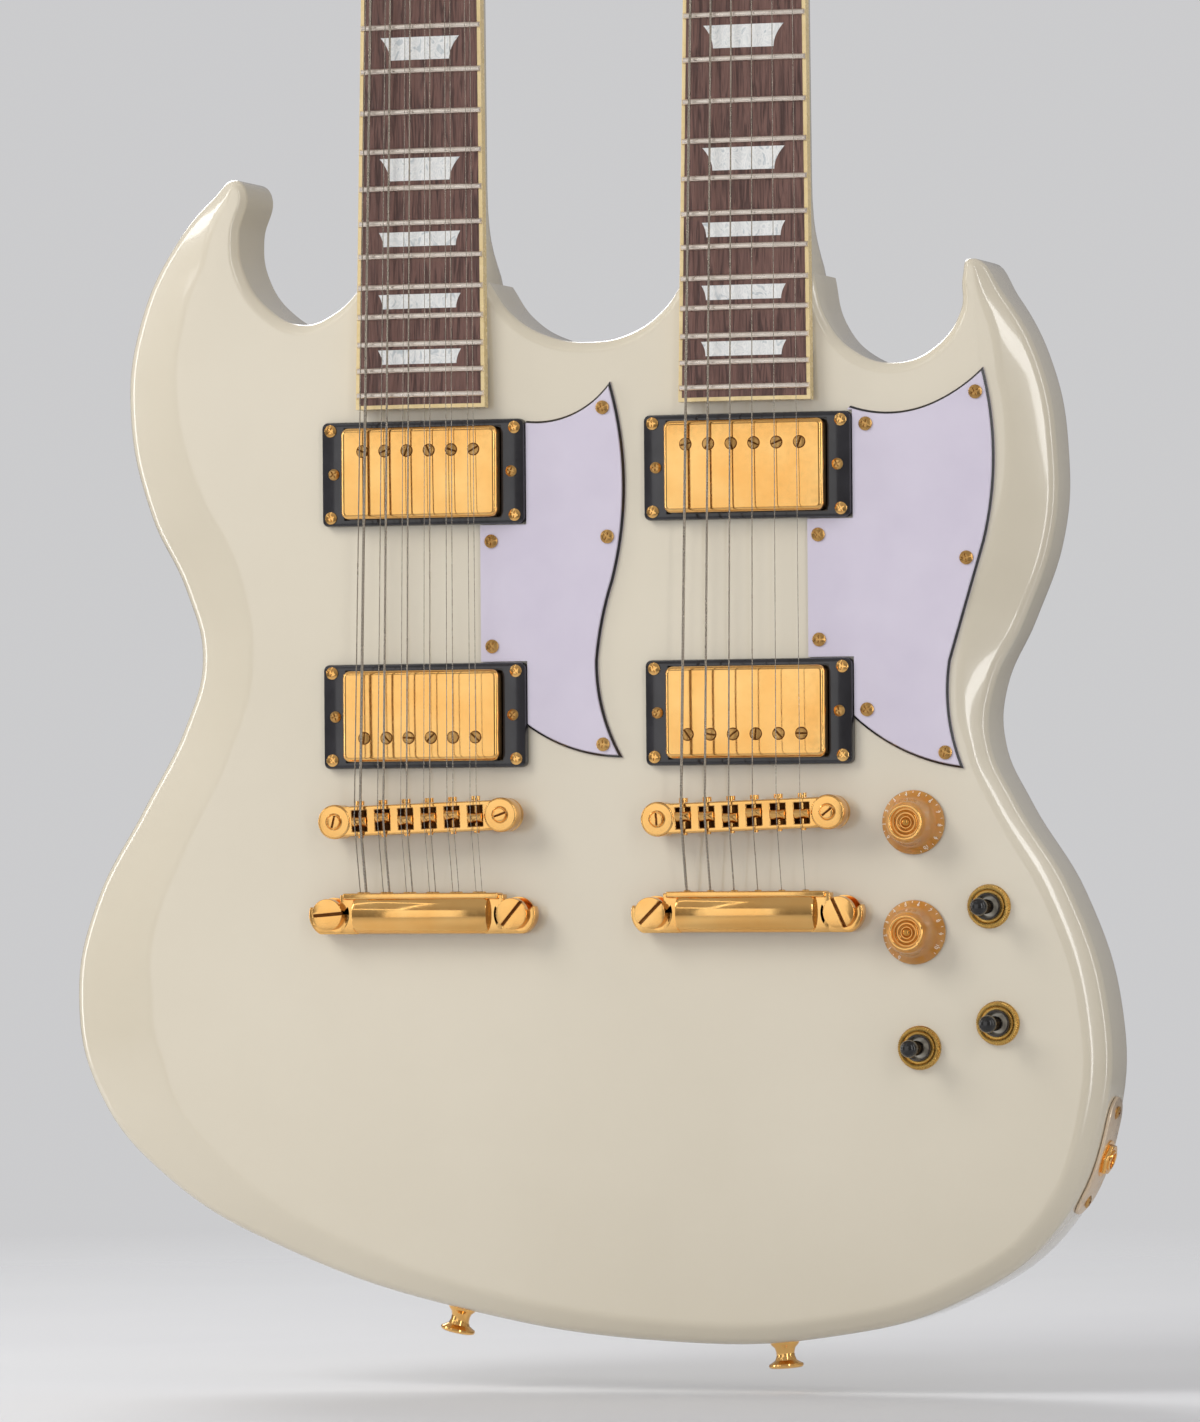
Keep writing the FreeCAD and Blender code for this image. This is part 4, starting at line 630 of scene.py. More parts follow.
@dataclass(frozen=True)
class Texture:
    """Noise that varies a finish.

    The tone has scale and detail. The gloss adds the least and the most share of the roughness, and the
    relief its depth in metres and its strength.
    """

    tone: Pair
    gloss: Four
    relief: Optional[Four] = None
    ends: Pair = (0.3, 0.7)
    stretch: Optional[Triple] = None
    sockets: tuple[tuple[str, float], ...] = ()


METAL = (("Metallic", 1.0),)
TEXTURES: dict[Pattern, Texture] = {
    Pattern.LACQUER: Texture((7, 3), (30, 2, 0.85, 1.2), (26, 1, 0.00004, 0.35), (0.35, 0.65),
                             sockets=(("Coat_IOR", 1.55),)),
    Pattern.PLATING: Texture((55, 4), (420, 3, 0.75, 1.4), (260, 2, 0.00002, 0.25), sockets=METAL),
    Pattern.PLASTIC: Texture((90, 4), (300, 2, 0.8, 1.3), (700, 2, 0.00001, 0.2)),
    Pattern.AMBER: Texture((160, 2), (400, 2, 0.7, 1.3),
                           sockets=(("Transmission_Weight", 0.55), ("IOR", 1.49))),
    Pattern.PLAIN_METAL: Texture((90, 3), (500, 2, 0.7, 1.4), stretch=(1, 1, 5), sockets=METAL),
}
SHEET_DEPTHS = (-0.0402, -0.038)
SHEET_CORE = (0.012, 0.012, 0.014)
NOUGHT = (0, 0, 0)
FULL = (1, 1, 1)


@dataclass(frozen=True)
class Finish:
    """One finish of the guitar, with the record's slot that it stands for."""

    slot: str
    pattern: Pattern
    dark: Triple
    light: Triple
    roughness: float = 0.2
    coat: float = 0.0
    label: str = ""

    def material(self) -> bpy.types.Material:
        """Material of the finish, made once.

        Returns:
            The material.
        """
        name = (self.label or self.slot) + "_finish"
        found = bpy.data.materials.get(name)
        if found:
            return found
        paint = Paint(name)
        paint.set(Roughness=self.roughness, Coat_Weight=self.coat, Coat_Roughness=0.06)
        makers = {Pattern.GRAIN: self._grain, Pattern.PEARL: self._pearl, Pattern.PLIES: self._plies,
                  Pattern.WINDING: self._winding}
        makers.get(self.pattern, self._even)(paint)
        return paint.material

    def _rough(self, paint: Paint, value: Socket, low: float, high: float) -> None:
        """Vary the roughness between two shares of the finish's own."""
        paint.rough(value, self.roughness * low, self.roughness * high)

    def _even(self, paint: Paint) -> None:
        """Lacquer, plating, plastic or metal, varied by its texture's noise.

        Args:
            paint: the finish's nodes.
        """
        texture = TEXTURES[self.pattern]
        paint.set(**dict(texture.sockets))
        low, high = texture.ends
        paint.colour(paint.ramp(paint.noise(*texture.tone), [(low, self.dark), (high, self.light)]))
        vector = paint.stretched(*texture.stretch) if texture.stretch else None
        self._rough(paint, paint.noise(*texture.gloss[:2], vector), *texture.gloss[2:])
        if texture.relief:
            paint.bump(paint.noise(*texture.relief[:2]), *texture.relief[2:])

    def _grain(self, paint: Paint) -> None:
        """Straight wood grain along the neck with open pores.

        Args:
            paint: the finish's nodes.
        """
        streaks = paint.noise(60, 5, paint.stretched(9, 9, 0.5), 0.6)
        paint.colour(paint.ramp(streaks, [(0.3, self.dark), (0.48, self.light), (0.6, self.dark),
                                          (0.72, self.light)]))
        pores = paint.noise(420, 3, paint.stretched(4, 4, 0.28))
        self._rough(paint, pores, 0.8, 1.25)
        paint.bump(paint.ramp(pores, [(0.34, NOUGHT), (0.46, FULL)]), 0.00012, 0.7)

    def _pearl(self, paint: Paint) -> None:
        """Swirled pearl in broken patches of different brightness.

        Args:
            paint: the finish's nodes.
        """
        swirl = paint.noise(110, 3, paint.stretched(1.6, 1, 1, 25), 2.2)
        grey = tuple((low + high) / 2 for low, high in zip(self.dark, self.light))
        paint.colour(paint.ramp(swirl, [(0.34, self.dark), (0.43, self.light), (0.5, grey),
                                        (0.57, self.light), (0.68, self.dark)]))
        self._rough(paint, paint.cells(240), 0.6, 1.3)
        paint.set(Sheen_Weight=0.15)

    def _plies(self, paint: Paint) -> None:
        """Laminated sheet: pale face, dark core that shows at the cut edge.

        Args:
            paint: the finish's nodes.
        """
        depth = paint.span(paint.axis(1), *SHEET_DEPTHS)
        face = paint.ramp(paint.noise(40, 3), [(0.3, self.dark), (0.7, self.light)])
        mix = paint.node("Mix")
        mix.data_type = "RGBA"
        paint.link(paint.ramp(depth, [(0.0, NOUGHT), (0.14, NOUGHT), (0.2, FULL), (0.62, FULL),
                                      (0.68, NOUGHT)]), mix.inputs["Factor"])
        paint.link(face, mix.inputs["A"])
        mix.inputs["B"].default_value = (*SHEET_CORE, 1)
        paint.colour(mix.outputs["Result"])
        self._rough(paint, paint.noise(200, 2), 0.8, 1.3)

    def _winding(self, paint: Paint) -> None:
        """Wire wound closely round a string.

        Args:
            paint: the finish's nodes.
        """
        paint.set(**dict(METAL))
        wave = paint.node("TexWave", Scale=520)
        wave.bands_direction = "Z"
        paint.link(paint.coordinates, wave.inputs["Vector"])
        paint.colour(paint.ramp(wave.outputs["Fac"], [(0.0, self.dark), (0.6, self.light)]))
        self._rough(paint, paint.noise(80, 2), 0.8, 1.2)
        paint.bump(wave.outputs["Fac"], 0.00006, 0.6)


CREAM = Finish("cream_lacquer", Pattern.LACQUER, (0.600, 0.538, 0.418), (0.630, 0.568, 0.448), 0.2, 1.0)
NECK_CREAM = Finish("neck_lacquer", Pattern.LACQUER, (0.600, 0.538, 0.418), (0.630, 0.568, 0.448), 0.2, 0.8)
BOARD = Finish("board_wood", Pattern.GRAIN, (0.056, 0.026, 0.021), (0.165, 0.083, 0.066), 0.5)
BINDING = Finish("binding", Pattern.PLASTIC, (0.66, 0.50, 0.235), (0.74, 0.58, 0.30), 0.25, 0.3)
PEARL = Finish("pearl", Pattern.PEARL, (0.47, 0.50, 0.51), (0.76, 0.75, 0.72), 0.18, 0.6)
FRET = Finish("fret_metal", Pattern.PLAIN_METAL, (0.90, 0.79, 0.69), (0.98, 0.89, 0.79), 0.34)
BONE = Finish("nut_bone", Pattern.PLASTIC, (0.68, 0.62, 0.48), (0.78, 0.73, 0.60), 0.3, 0.2)
BLACK = Finish("black_cover", Pattern.PLASTIC, (0.010, 0.010, 0.011), (0.018, 0.018, 0.020), 0.22, 0.4)
GUARD = Finish("guard_sheet", Pattern.PLIES, (0.540, 0.490, 0.585), (0.580, 0.530, 0.620), 0.16, 0.5)
RING = Finish("ring_plastic", Pattern.PLASTIC, (0.009, 0.008, 0.010), (0.020, 0.019, 0.023), 0.16, 0.5)
GOLD = Finish("gold_plate", Pattern.PLATING, (0.90, 0.48, 0.14), (0.95, 0.575, 0.205), 0.12)
DULL_GOLD = Finish("gold_plate", Pattern.PLATING, (0.48, 0.26, 0.08), (0.72, 0.43, 0.15), 0.28,
                   label="gold_screws")
COIL = Finish("coil_wrap", Pattern.PLASTIC, (0.015, 0.014, 0.014), (0.03, 0.028, 0.028), 0.6)
STEEL = Finish("string_steel", Pattern.PLAIN_METAL, (0.28, 0.25, 0.21), (0.42, 0.38, 0.32), 0.24,
               label="string_steel_plain")
WOUND = Finish("string_steel", Pattern.WINDING, (0.17, 0.145, 0.12), (0.44, 0.39, 0.32), 0.28)
AMBER = Finish("amber_knob", Pattern.AMBER, (0.84, 0.40, 0.08), (0.91, 0.49, 0.12), 0.06, 0.2)
KNOB_CORE = Finish("amber_knob", Pattern.PLATING, (0.84, 0.42, 0.12), (0.94, 0.54, 0.20), 0.34,
                   label="knob_core")
KNOB_CAP = Finish("amber_knob", Pattern.PLATING, (0.56, 0.25, 0.05), (0.74, 0.38, 0.10), 0.2,
                  label="knob_cap")
NUMERALS = Finish("amber_knob", Pattern.PLASTIC, (0.80, 0.76, 0.66), (0.86, 0.82, 0.72), 0.4,
                  label="knob_numerals")
CONTROL = Finish("control_metal", Pattern.PLAIN_METAL, (0.40, 0.40, 0.41), (0.62, 0.62, 0.63), 0.22)
CASE = Finish("case_steel", Pattern.PLAIN_METAL, (0.36, 0.36, 0.36), (0.55, 0.55, 0.56), 0.3)
LEVER = Finish("lever_tip", Pattern.PLASTIC, (0.004, 0.0035, 0.0035), (0.009, 0.008, 0.007), 0.16, 0.3)
DARK_CHROME = Finish("control_metal", Pattern.PLAIN_METAL, (0.08, 0.07, 0.065), (0.20, 0.18, 0.16), 0.2,
                     label="dark_chrome")
THROAT = Finish("control_metal", Pattern.PLASTIC, (0.022, 0.018, 0.015), (0.050, 0.041, 0.034), 0.2, 0.5,
                label="blackened_metal")
NUT_GOLD = Finish("gold_plate", Pattern.PLATING, (0.58, 0.34, 0.08), (0.74, 0.47, 0.14), 0.26,
                  label="knurled_gold")
PALE_PLATE = Finish("gold_plate", Pattern.PLATING, (0.80, 0.64, 0.47), (0.88, 0.73, 0.56), 0.34,
                    label="pale_plate")
# Painted shade: a dark, dull gold for the window linings, slot strips and pole hole rings, standing in for
# the shade in those hollows.
PAINTED_SHADE_GOLD = Finish("gold_plate", Pattern.PLATING, (0.14, 0.05, 0.012), (0.26, 0.11, 0.03), 0.45,
                   label="painted_shade_gold")


def add_object(name: str, data: bpy.types.ID) -> bpy.types.Object:
    """Put a new object into the scene.

    Args:
        name: name of the object.
        data: its mesh, curve, lamp or camera.

    Returns:
        The object.
    """
    item = bpy.data.objects.new(name, data)
    bpy.context.scene.collection.objects.link(item)
    return item


def curve_mesh(data: bpy.types.Curve) -> bpy.types.Mesh:
    """Turn a curve or a text into a mesh.

    Args:
        data: the curve, which is removed.

    Returns:
        The mesh.
    """
    holder = add_object("curve", data)
    bpy.context.view_layer.update()
    mesh = bpy.data.meshes.new_from_object(holder)
    bpy.data.objects.remove(holder)
    bpy.data.curves.remove(data)
    return mesh


def dress(name: str, form: Form, finish: Finish, body: str = ROOT, replaces: Sequence[str] = (),
          smooth: float = 35.0) -> bpy.types.Object:
    """Turn a form into a finished piece that rides on a body.

    Args:
        name: name of the piece.
        form: its shape.
        finish: its finish.
        body: the body that it moves with.
        replaces: nodes of the frame that it stands for.
        smooth: edges sharper than this many degrees stay sharp.

    Returns:
        The piece.
    """
    mesh = form.mesh(name)
    mesh.shade_smooth()
    mesh.set_sharp_from_angle(angle=math.radians(smooth))
    piece = add_object(name, mesh)
    mesh.materials.append(finish.material())
    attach(piece, body)
    if replaces:
        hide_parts(*replaces)
    return piece


def copy_node(node: str) -> Form:
    """Copy a node of the frame as a merged form in millimetres.

    Args:
        node: name of the node.

    Returns:
        The form, with flat faces joined.
    """
    form = Form()
    form.bm.from_mesh(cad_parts[node].data)
    bmesh.ops.scale(form.bm, vec=(1 / MM, 1 / MM, 1 / MM), verts=form.bm.verts)
    bmesh.ops.remove_doubles(form.bm, verts=form.bm.verts, dist=0.002)
    bmesh.ops.dissolve_limit(form.bm, angle_limit=math.radians(1.0), verts=form.bm.verts,
                             edges=form.bm.edges)
    return form


def smooth_line(points: Sequence[Pair], corners: Sequence[int], steps: int) -> list[Vector]:
    """Run a closed smooth curve through given points, with corners where they are named.

    Args:
        points: places across and along.
        corners: numbers of the points that stay sharp.
        steps: steps between two points.

    Returns:
        Places on the curve, in order; a run between two corners is straight and has no steps.
    """
    data = bpy.data.curves.new("line", "CURVE")
    data.dimensions = "2D"
    data.resolution_u = steps
    spline = data.splines.new("BEZIER")
    spline.bezier_points.add(len(points) - 1)
    spline.use_cyclic_u = True
    for index, (knot, (x, y)) in enumerate(zip(spline.bezier_points, points)):
        knot.co = (x, y, 0)
        knot.handle_left_type = knot.handle_right_type = "VECTOR" if index in corners else "AUTO"
    mesh = curve_mesh(data)
    line = [vert.co.copy() for vert in mesh.vertices]
    bpy.data.meshes.remove(mesh)
    return line


@dataclass
class BodyShell:
    """Bevelled body with its horns and cutaways."""

    thickness: float = 38.0
    half_width: float = 230.0
    half_length: float = 250.0
    bevel_width: float = 26.0
    bevel_depth: float = 8.0
    back_share: float = 0.75
    wall_round: float = 4.0
    steps: int = 8

    outline: tuple[tuple[int, float, float, float], ...] = (
        (-1, -0.124, 0.894, 0.10), (-1, -0.177, 0.851, 0.13), (-1, -0.243, 0.831, 0.15),
        (-1, -0.311, 0.861, 0.15), (-1, -0.359, 0.926, 0.14), (-1, -0.367, 0.988, 0.12),
        (-1, -0.352, 1.064, 0.10), (-1, -0.374, 1.082, 0.12), (0, -0.730, 1.056, 0.30),
        (0, -0.813, 0.976, 0.70), (0, -0.887, 0.836, 0.85), (0, -0.907, 0.688, 0.95),
        (0, -0.867, 0.512, 1.05), (0, -0.800, 0.384, 1.10), (0, -0.767, 0.264, 1.00),
        (0, -0.802, 0.148, 1.00), (0, -0.883, 0.012, 1.05), (0, -0.983, -0.152, 1.25),
        (0, -1.021, -0.312, 1.45), (0, -0.980, -0.480, 1.40), (0, -0.839, -0.628, 1.00),
        (0, -0.600, -0.748, 0.60), (0, -0.252, -0.846, 0.40), (0, 0.130, -0.895, 0.32),
        (0, 0.435, -0.886, 0.30), (0, 0.696, -0.820, 0.30), (0, 0.874, -0.698, 0.30),
        (0, 0.961, -0.512, 0.32), (0, 0.967, -0.340, 0.34), (0, 0.902, -0.146, 0.34),
        (0, 0.800, 0.008, 0.30), (0, 0.752, 0.108, 0.28), (0, 0.759, 0.200, 0.50),
        (0, 0.815, 0.310, 0.82), (0, 0.870, 0.452, 0.85), (0, 0.878, 0.592, 0.70),
        (0, 0.850, 0.736, 0.62), (0, 0.783, 0.854, 0.30), (1, 0.414, 0.910, 0.07),
        (1, 0.402, 0.884, 0.09), (1, 0.397, 0.826, 0.13), (1, 0.348, 0.766, 0.15),
        (1, 0.274, 0.741, 0.15), (1, 0.198, 0.761, 0.15), (1, 0.143, 0.818, 0.11),
        (1, 0.122, 0.894, 0.06), (1, -0.122, 0.894, 0.10), (0, 0.148, 0.842, 0.13),
        (0, 0.083, 0.802, 0.15), (0, 0.000, 0.789, 0.15), (0, -0.083, 0.803, 0.15),
        (0, -0.148, 0.841, 0.13), (-1, 0.122, 0.894, 0.10),
    )
    corners: tuple[int, ...] = (0, 45, 46, 52)
    recess: tuple[Pair, ...] = (
        (117, 18), (166, 18), (166, -20), (197, -20), (197, -124), (117, -124),
    )

    def line(self) -> list[Vector]:
        """Smooth outline of the body, across and along.

        Returns:
            Places on the outline, in order.
        """
        points = [(neck * NECK_OFFSET + across * self.half_width, along * self.half_length)
                  for neck, across, along, _ in self.outline]
        return smooth_line(points, self.corners, self.steps)

    def shares(self) -> list[float]:
        """Bevel share of each place on the outline.

        Returns:
            The shares, one for each place of the line.
        """
        rows = []
        for index, row in enumerate(self.outline):
            after = (index + 1) % len(self.outline)
            steps = 1 if index in self.corners and after in self.corners else self.steps
            rows += [row[3] + (self.outline[after][3] - row[3]) * step / steps for step in range(steps)]
        return rows

    @staticmethod
    def mitre(before: Vector, place: Vector, after: Vector) -> Vector:
        """Way into the body at a place, long enough to keep both sides of a corner parallel.

        Args:
            before: place before it on the outline.
            place: the place.
            after: place after it.

        Returns:
            The way in, one long on a straight run.
        """
        first, last = (place - before).normalized(), (after - place).normalized()
        ways = [Vector((-way.y, way.x)) for way in (first, last)]
        middle = (ways[0] + ways[1]).normalized()
        return middle / max(0.6, middle.dot(ways[0]))

    def profile(self, share: float) -> list[Pair]:
        """Section of the rim at one point, from the front face round the wall to the back.

        Args:
            share: bevel share of the outline at that point.

        Returns:
            Inset from the outline and depth behind the front face, for each ring.
        """
        rings: list[Pair] = []
        for way, face in ((1, 0.0), (-1, self.thickness)):
            scale = 1.0 if way == 1 else self.back_share
            width = share * self.bevel_width * scale
            depth = math.sqrt(share) * self.bevel_depth * scale
            soft = min(self.wall_round, width * 0.45)
            inner = Vector((width, 0))
            outer = Vector((0, depth))
            slope = (outer - inner).normalized()
            start = [inner + Vector((soft * 0.6, 0)), inner, inner + slope * soft * 0.6]
            end = [outer - slope * soft, outer, outer + Vector((0, soft))]
            half = [self.arc(*start, step / 3) for step in range(4)]
            half += [self.arc(*end, step / 5) for step in range(6)]
            side = [(point.x, face + way * point.y) for point in half]
            rings += side if way == 1 else side[::-1]
        return rings

    @staticmethod
    def arc(first: Vector, middle: Vector, last: Vector, share: float) -> Vector:
        """Point of a soft corner between two straight runs."""
        return first.lerp(middle, share).lerp(middle.lerp(last, share), share)

    def build(self) -> None:
        """Build the body and cut the recess of the back cover."""
        line = self.line()
        form = Form()
        count = len(line)
        inward = [self.mitre(line[index - 1], place, line[(index + 1) % count])
                  for index, place in enumerate(line)]
        profiles = [self.profile(share) for share in self.shares()]
        verts = [form.bm.verts.new(self.ring_point(*spot)) for spot in zip(
            line, inward, (rings[0] for rings in profiles))]
        loop = [form.bm.edges.new((verts[index - 1], verts[index])) for index in range(count)]
        form.bm.faces.new(verts)
        for ring in range(1, len(profiles[0])):
            made = bmesh.ops.extrude_edge_only(form.bm, edges=loop)["geom"]
            fresh = [item for item in made if isinstance(item, bmesh.types.BMVert)]
            loop = [item for item in made if isinstance(item, bmesh.types.BMEdge)
                    and all(vert in fresh for vert in item.verts)]
            order = {vert: number for number, vert in enumerate(verts)}
            following = [None] * count
            for edge in {edge for vert in fresh for edge in vert.link_edges}:
                old = [vert for vert in edge.verts if vert in order]
                if len(old) == 1:
                    following[order[old[0]]] = edge.other_vert(old[0])
            verts = following
            for index, vert in enumerate(verts):
                vert.co = self.ring_point(line[index], inward[index], profiles[index][ring])
        form.bm.faces.new(verts)
        form.bm.normal_update()
        piece = dress("body_shell", form, CREAM, replaces=["body"], smooth=30)
        self.cut_recess(piece)
        LOG.info("body shell: %d faces", len(piece.data.polygons))

    def ring_point(self, place: Vector, inward: Vector, ring: Pair) -> Vector:
        """Point of one ring of the rim."""
        inset, depth = ring
        return Vector((place.x + inward.x * inset, FRONT + depth, place.y + inward.y * inset))

    def cut_recess(self, piece: bpy.types.Object) -> None:
        """Let the back cover's recess into the body.

        Args:
            piece: the body.
        """
        cutter = Form.sheet(self.recess, 8).bevel(9, 5, upright)
        cutter.placed(shift_by(0, 5.6, 0) @ turn_by(90, "X"))
        tool = add_object("recess_tool", cutter.mesh("recess_tool"))
        change = piece.modifiers.new("recess", "BOOLEAN")
        change.operation = "DIFFERENCE"
        change.solver = "EXACT"
        change.object = tool
        bpy.context.view_layer.update()
        graph = bpy.context.evaluated_depsgraph_get()
        mesh = bpy.data.meshes.new_from_object(piece.evaluated_get(graph))
        piece.modifiers.clear()
        piece.data = mesh
        mesh.name = "body_shell"
        bpy.data.objects.remove(tool)


@dataclass
class BackHardware:
    """Back cover with its screws, and the strap buttons."""

    screw_turn: float = 0.5
    cover_screws: tuple[Pair, ...] = (
        (122, 13), (160, 12), (192, -26), (192, -118), (122, -118), (122, -52),
    )
    buttons: tuple[Triple, ...] = ((-63.7, -210.4, 13.05), (78.5, -223.8, -3.8))

    def build(self) -> None:
        """Build the cover, its screws and both strap buttons."""
        cover = copy_node("control_cover")
        cover.bevel(0.6, 2, lambda edge: all(vert.co.y > -0.01 for vert in edge.verts))
        dress("back_cover", cover, BLACK, replaces=["control_cover"])
        screws = Form()
        for number, (x, z) in enumerate(self.cover_screws):
            head = Form.crossed(2.9, 1.1).placed(Matrix.Rotation(self.screw_turn * number, 4, "Z"))
            screws.joined(head.placed(shift_by(x, 0, z) @ turn_by(-90, "X")))
        dress("back_cover_screws", screws, DULL_GOLD)
        buttons = Form()
        for x, z, turn in self.buttons:
            place = (shift_by(x, MIDDLE, z) @ turn_by(turn, "Y")
                     @ turn_by(180, "X"))
            buttons.joined(self.button().placed(place))
        dress("strap_buttons_turned", buttons, GOLD, replaces=["strap_buttons"])
        LOG.info("back cover and strap buttons")

    def button(self) -> Form:
        """One strap button, standing up Z, with its screw's head.

        Returns:
            The button.
        """
        profile = [(0, -1), (6.2, -1), (6.2, 0.6), (5.6, 1.6), (4.4, 2.8), (3.9, 4.4), (3.9, 6.2), (4.6, 8.0),
                   (6.2, 9.0), (7.2, 9.5), (7.4, 10.2), (7.1, 10.9), (6.2, 11.3), (4.2, 11.45), (3.8, 11.0),
                   (0, 11.0)]
        return Form.turned(profile, 40).joined(Form.crossed(3.4, 1.3).at(z=10.2))


@dataclass
class Neck:
    """Neck shaft, heel and headstock of one side."""

    side: Side
    board_end: float = 160.4
    heel_line: float = 221.0
    heel_length: float = 42.0
    heel_depth: float = 34.5
    depth_low: float = 17.5
    depth_nut: float = 15.5
    section_steps: int = 20
    top_run: float = 32.0
    head_half: float = 38.5

    heel: tuple[Triple, ...] = (
        (0.0, 1.0, 1.0), (0.09, 0.97, 0.97), (0.17, 0.88, 0.9), (0.27, 0.68, 0.76), (0.38, 0.45, 0.6),
        (0.5, 0.25, 0.4), (0.62, 0.12, 0.25), (0.8, 0.03, 0.08), (1.0, 0.0, 0.0),
    )

    @property
    def head_length(self) -> float:
        """Length of the headstock."""
        return 212.0 if self.side is Side.TWELVE else 172.0

    def half_width(self, along: float) -> float:
        """Half of the neck's width at a place along it."""
        return taper(along, self.board_end)

    def section(self, along: float, depth: float, square: float) -> list[Vector]:
        """Section of the neck's back.

        Args:
            along: place along the neck.
            depth: depth below the fretboard.
            square: nought for a round back, one for a squared heel.

        Returns:
            Places from one top corner round the back to the other.
        """
        half = self.half_width(along)
        power = 0.88 - 0.55 * square
        ring = []
        for step in range(self.section_steps + 1):
            angle = math.pi * step / self.section_steps
            across = math.copysign(abs(math.cos(angle)) ** power, math.cos(angle)) * half
            ring.append(Vector((across, 6 + math.sin(angle) ** power * depth, along)))
        return ring

    def stations(self) -> list[Triple]:
        """Places along the neck with the depth and squareness of each.

        Returns:
            Place along, depth and squareness of each section.
        """
        rows = [(self.heel_line - 30, self.heel_depth, 1.0)]
        for share, extra, square in self.heel:
            along = self.heel_line + share * self.heel_length
            rows.append((along, self.depth_low + extra * (self.heel_depth - self.depth_low), square))
        foot = self.heel_line + self.heel_length
        top = SCALE_LENGTH - self.top_run
        for share in (step / 12 for step in range(1, 13)):
            depth = self.depth_low + share * (self.depth_nut - self.depth_low)
            rows.append((foot + share * (top - foot), depth, 0.0))
        for share in (step / 4 for step in range(1, 5)):
            rows.append((top + share * 44, self.depth_nut + 1.5 * share ** 2, 0.12 * share))
        return rows

    def shaft(self) -> Form:
        """Shaft and heel, extruded from station to station.

        Returns:
            The shaft in the neck's frame.
        """
        form = Form()
        rows = self.stations()
        verts = [form.bm.verts.new(place) for place in self.section(*rows[0])]
        form.bm.faces.new(verts)
        for row in rows[1:]:
            fresh = [form.bm.verts.new(place) for place in self.section(*row)]
            low = [form.bm.edges.get((verts[index - 1], verts[index]))
                   or form.bm.edges.new((verts[index - 1], verts[index])) for index in range(len(verts))]
            high = [form.bm.edges.new((fresh[index - 1], fresh[index])) for index in range(len(fresh))]
            bmesh.ops.bridge_loops(form.bm, edges=low + high)
            verts = fresh
        form.bm.faces.new(verts)
        return form

    def head_outline(self) -> list[Pair]:
        """Outline of the headstock, across and along.

        Returns:
            Places on the outline, in order.
        """
        half = self.head_half
        length = self.head_length
        right = [(HALF_NUT, 0.0), (0.68 * half, 0.05 * length), (0.80 * half, 0.11 * length),
                 (0.93 * half, 0.165 * length), (half, 0.23 * length), (half, 0.45 * length),
                 (0.97 * half, 0.80 * length), (0.82 * half, 0.925 * length), (0.45 * half, 0.985 * length)]
        left = [(-x, z) for x, z in reversed(right)]
        points = right + [(0.0, length)] + left
        line = smooth_line(points, (0, len(points) - 1), 6)
        return [(place.x, place.y) for place in line]

    def build(self) -> None:
        """Build the shaft with its heel, and the headstock with its dark face."""
        tag = self.side.tag
        dress("neck_shaft_" + tag, self.shaft().placed(neck_place(self.side)), NECK_CREAM,
              replaces=["neck_" + tag], smooth=40)
        flat = turn_by(90, "X")
        plate = Form.sheet(self.head_outline(), HEAD_THICKNESS).sharp(1.6, 3, 60)
        plate.placed(head_place(self.side) @ shift_by(0, HEAD_THICKNESS, 0) @ flat)
        dress("headstock_" + tag, plate, NECK_CREAM, smooth=40)
        face = Form.sheet([(x * 0.972, 2 + z * 0.985) for x, z in self.head_outline()], 0.5)
        face.placed(head_place(self.side) @ shift_by(0, 0.3, 0) @ flat)
        dress("headstock_face_" + tag, face, BLACK)
        volute = Form.pin(HALF_NUT, 30, -4, 32, HALF_NUT * 1.05)
        volute.moved(lambda co: Vector((co.x, max(0.0, co.y) * 0.72, co.z)))
        volute.placed(head_place(self.side) @ shift_by(0, 3, -8))
        dress("neck_volute_" + tag, volute.sharp(1.5, 3, 50), NECK_CREAM, smooth=50)
        LOG.info("neck %s", tag)


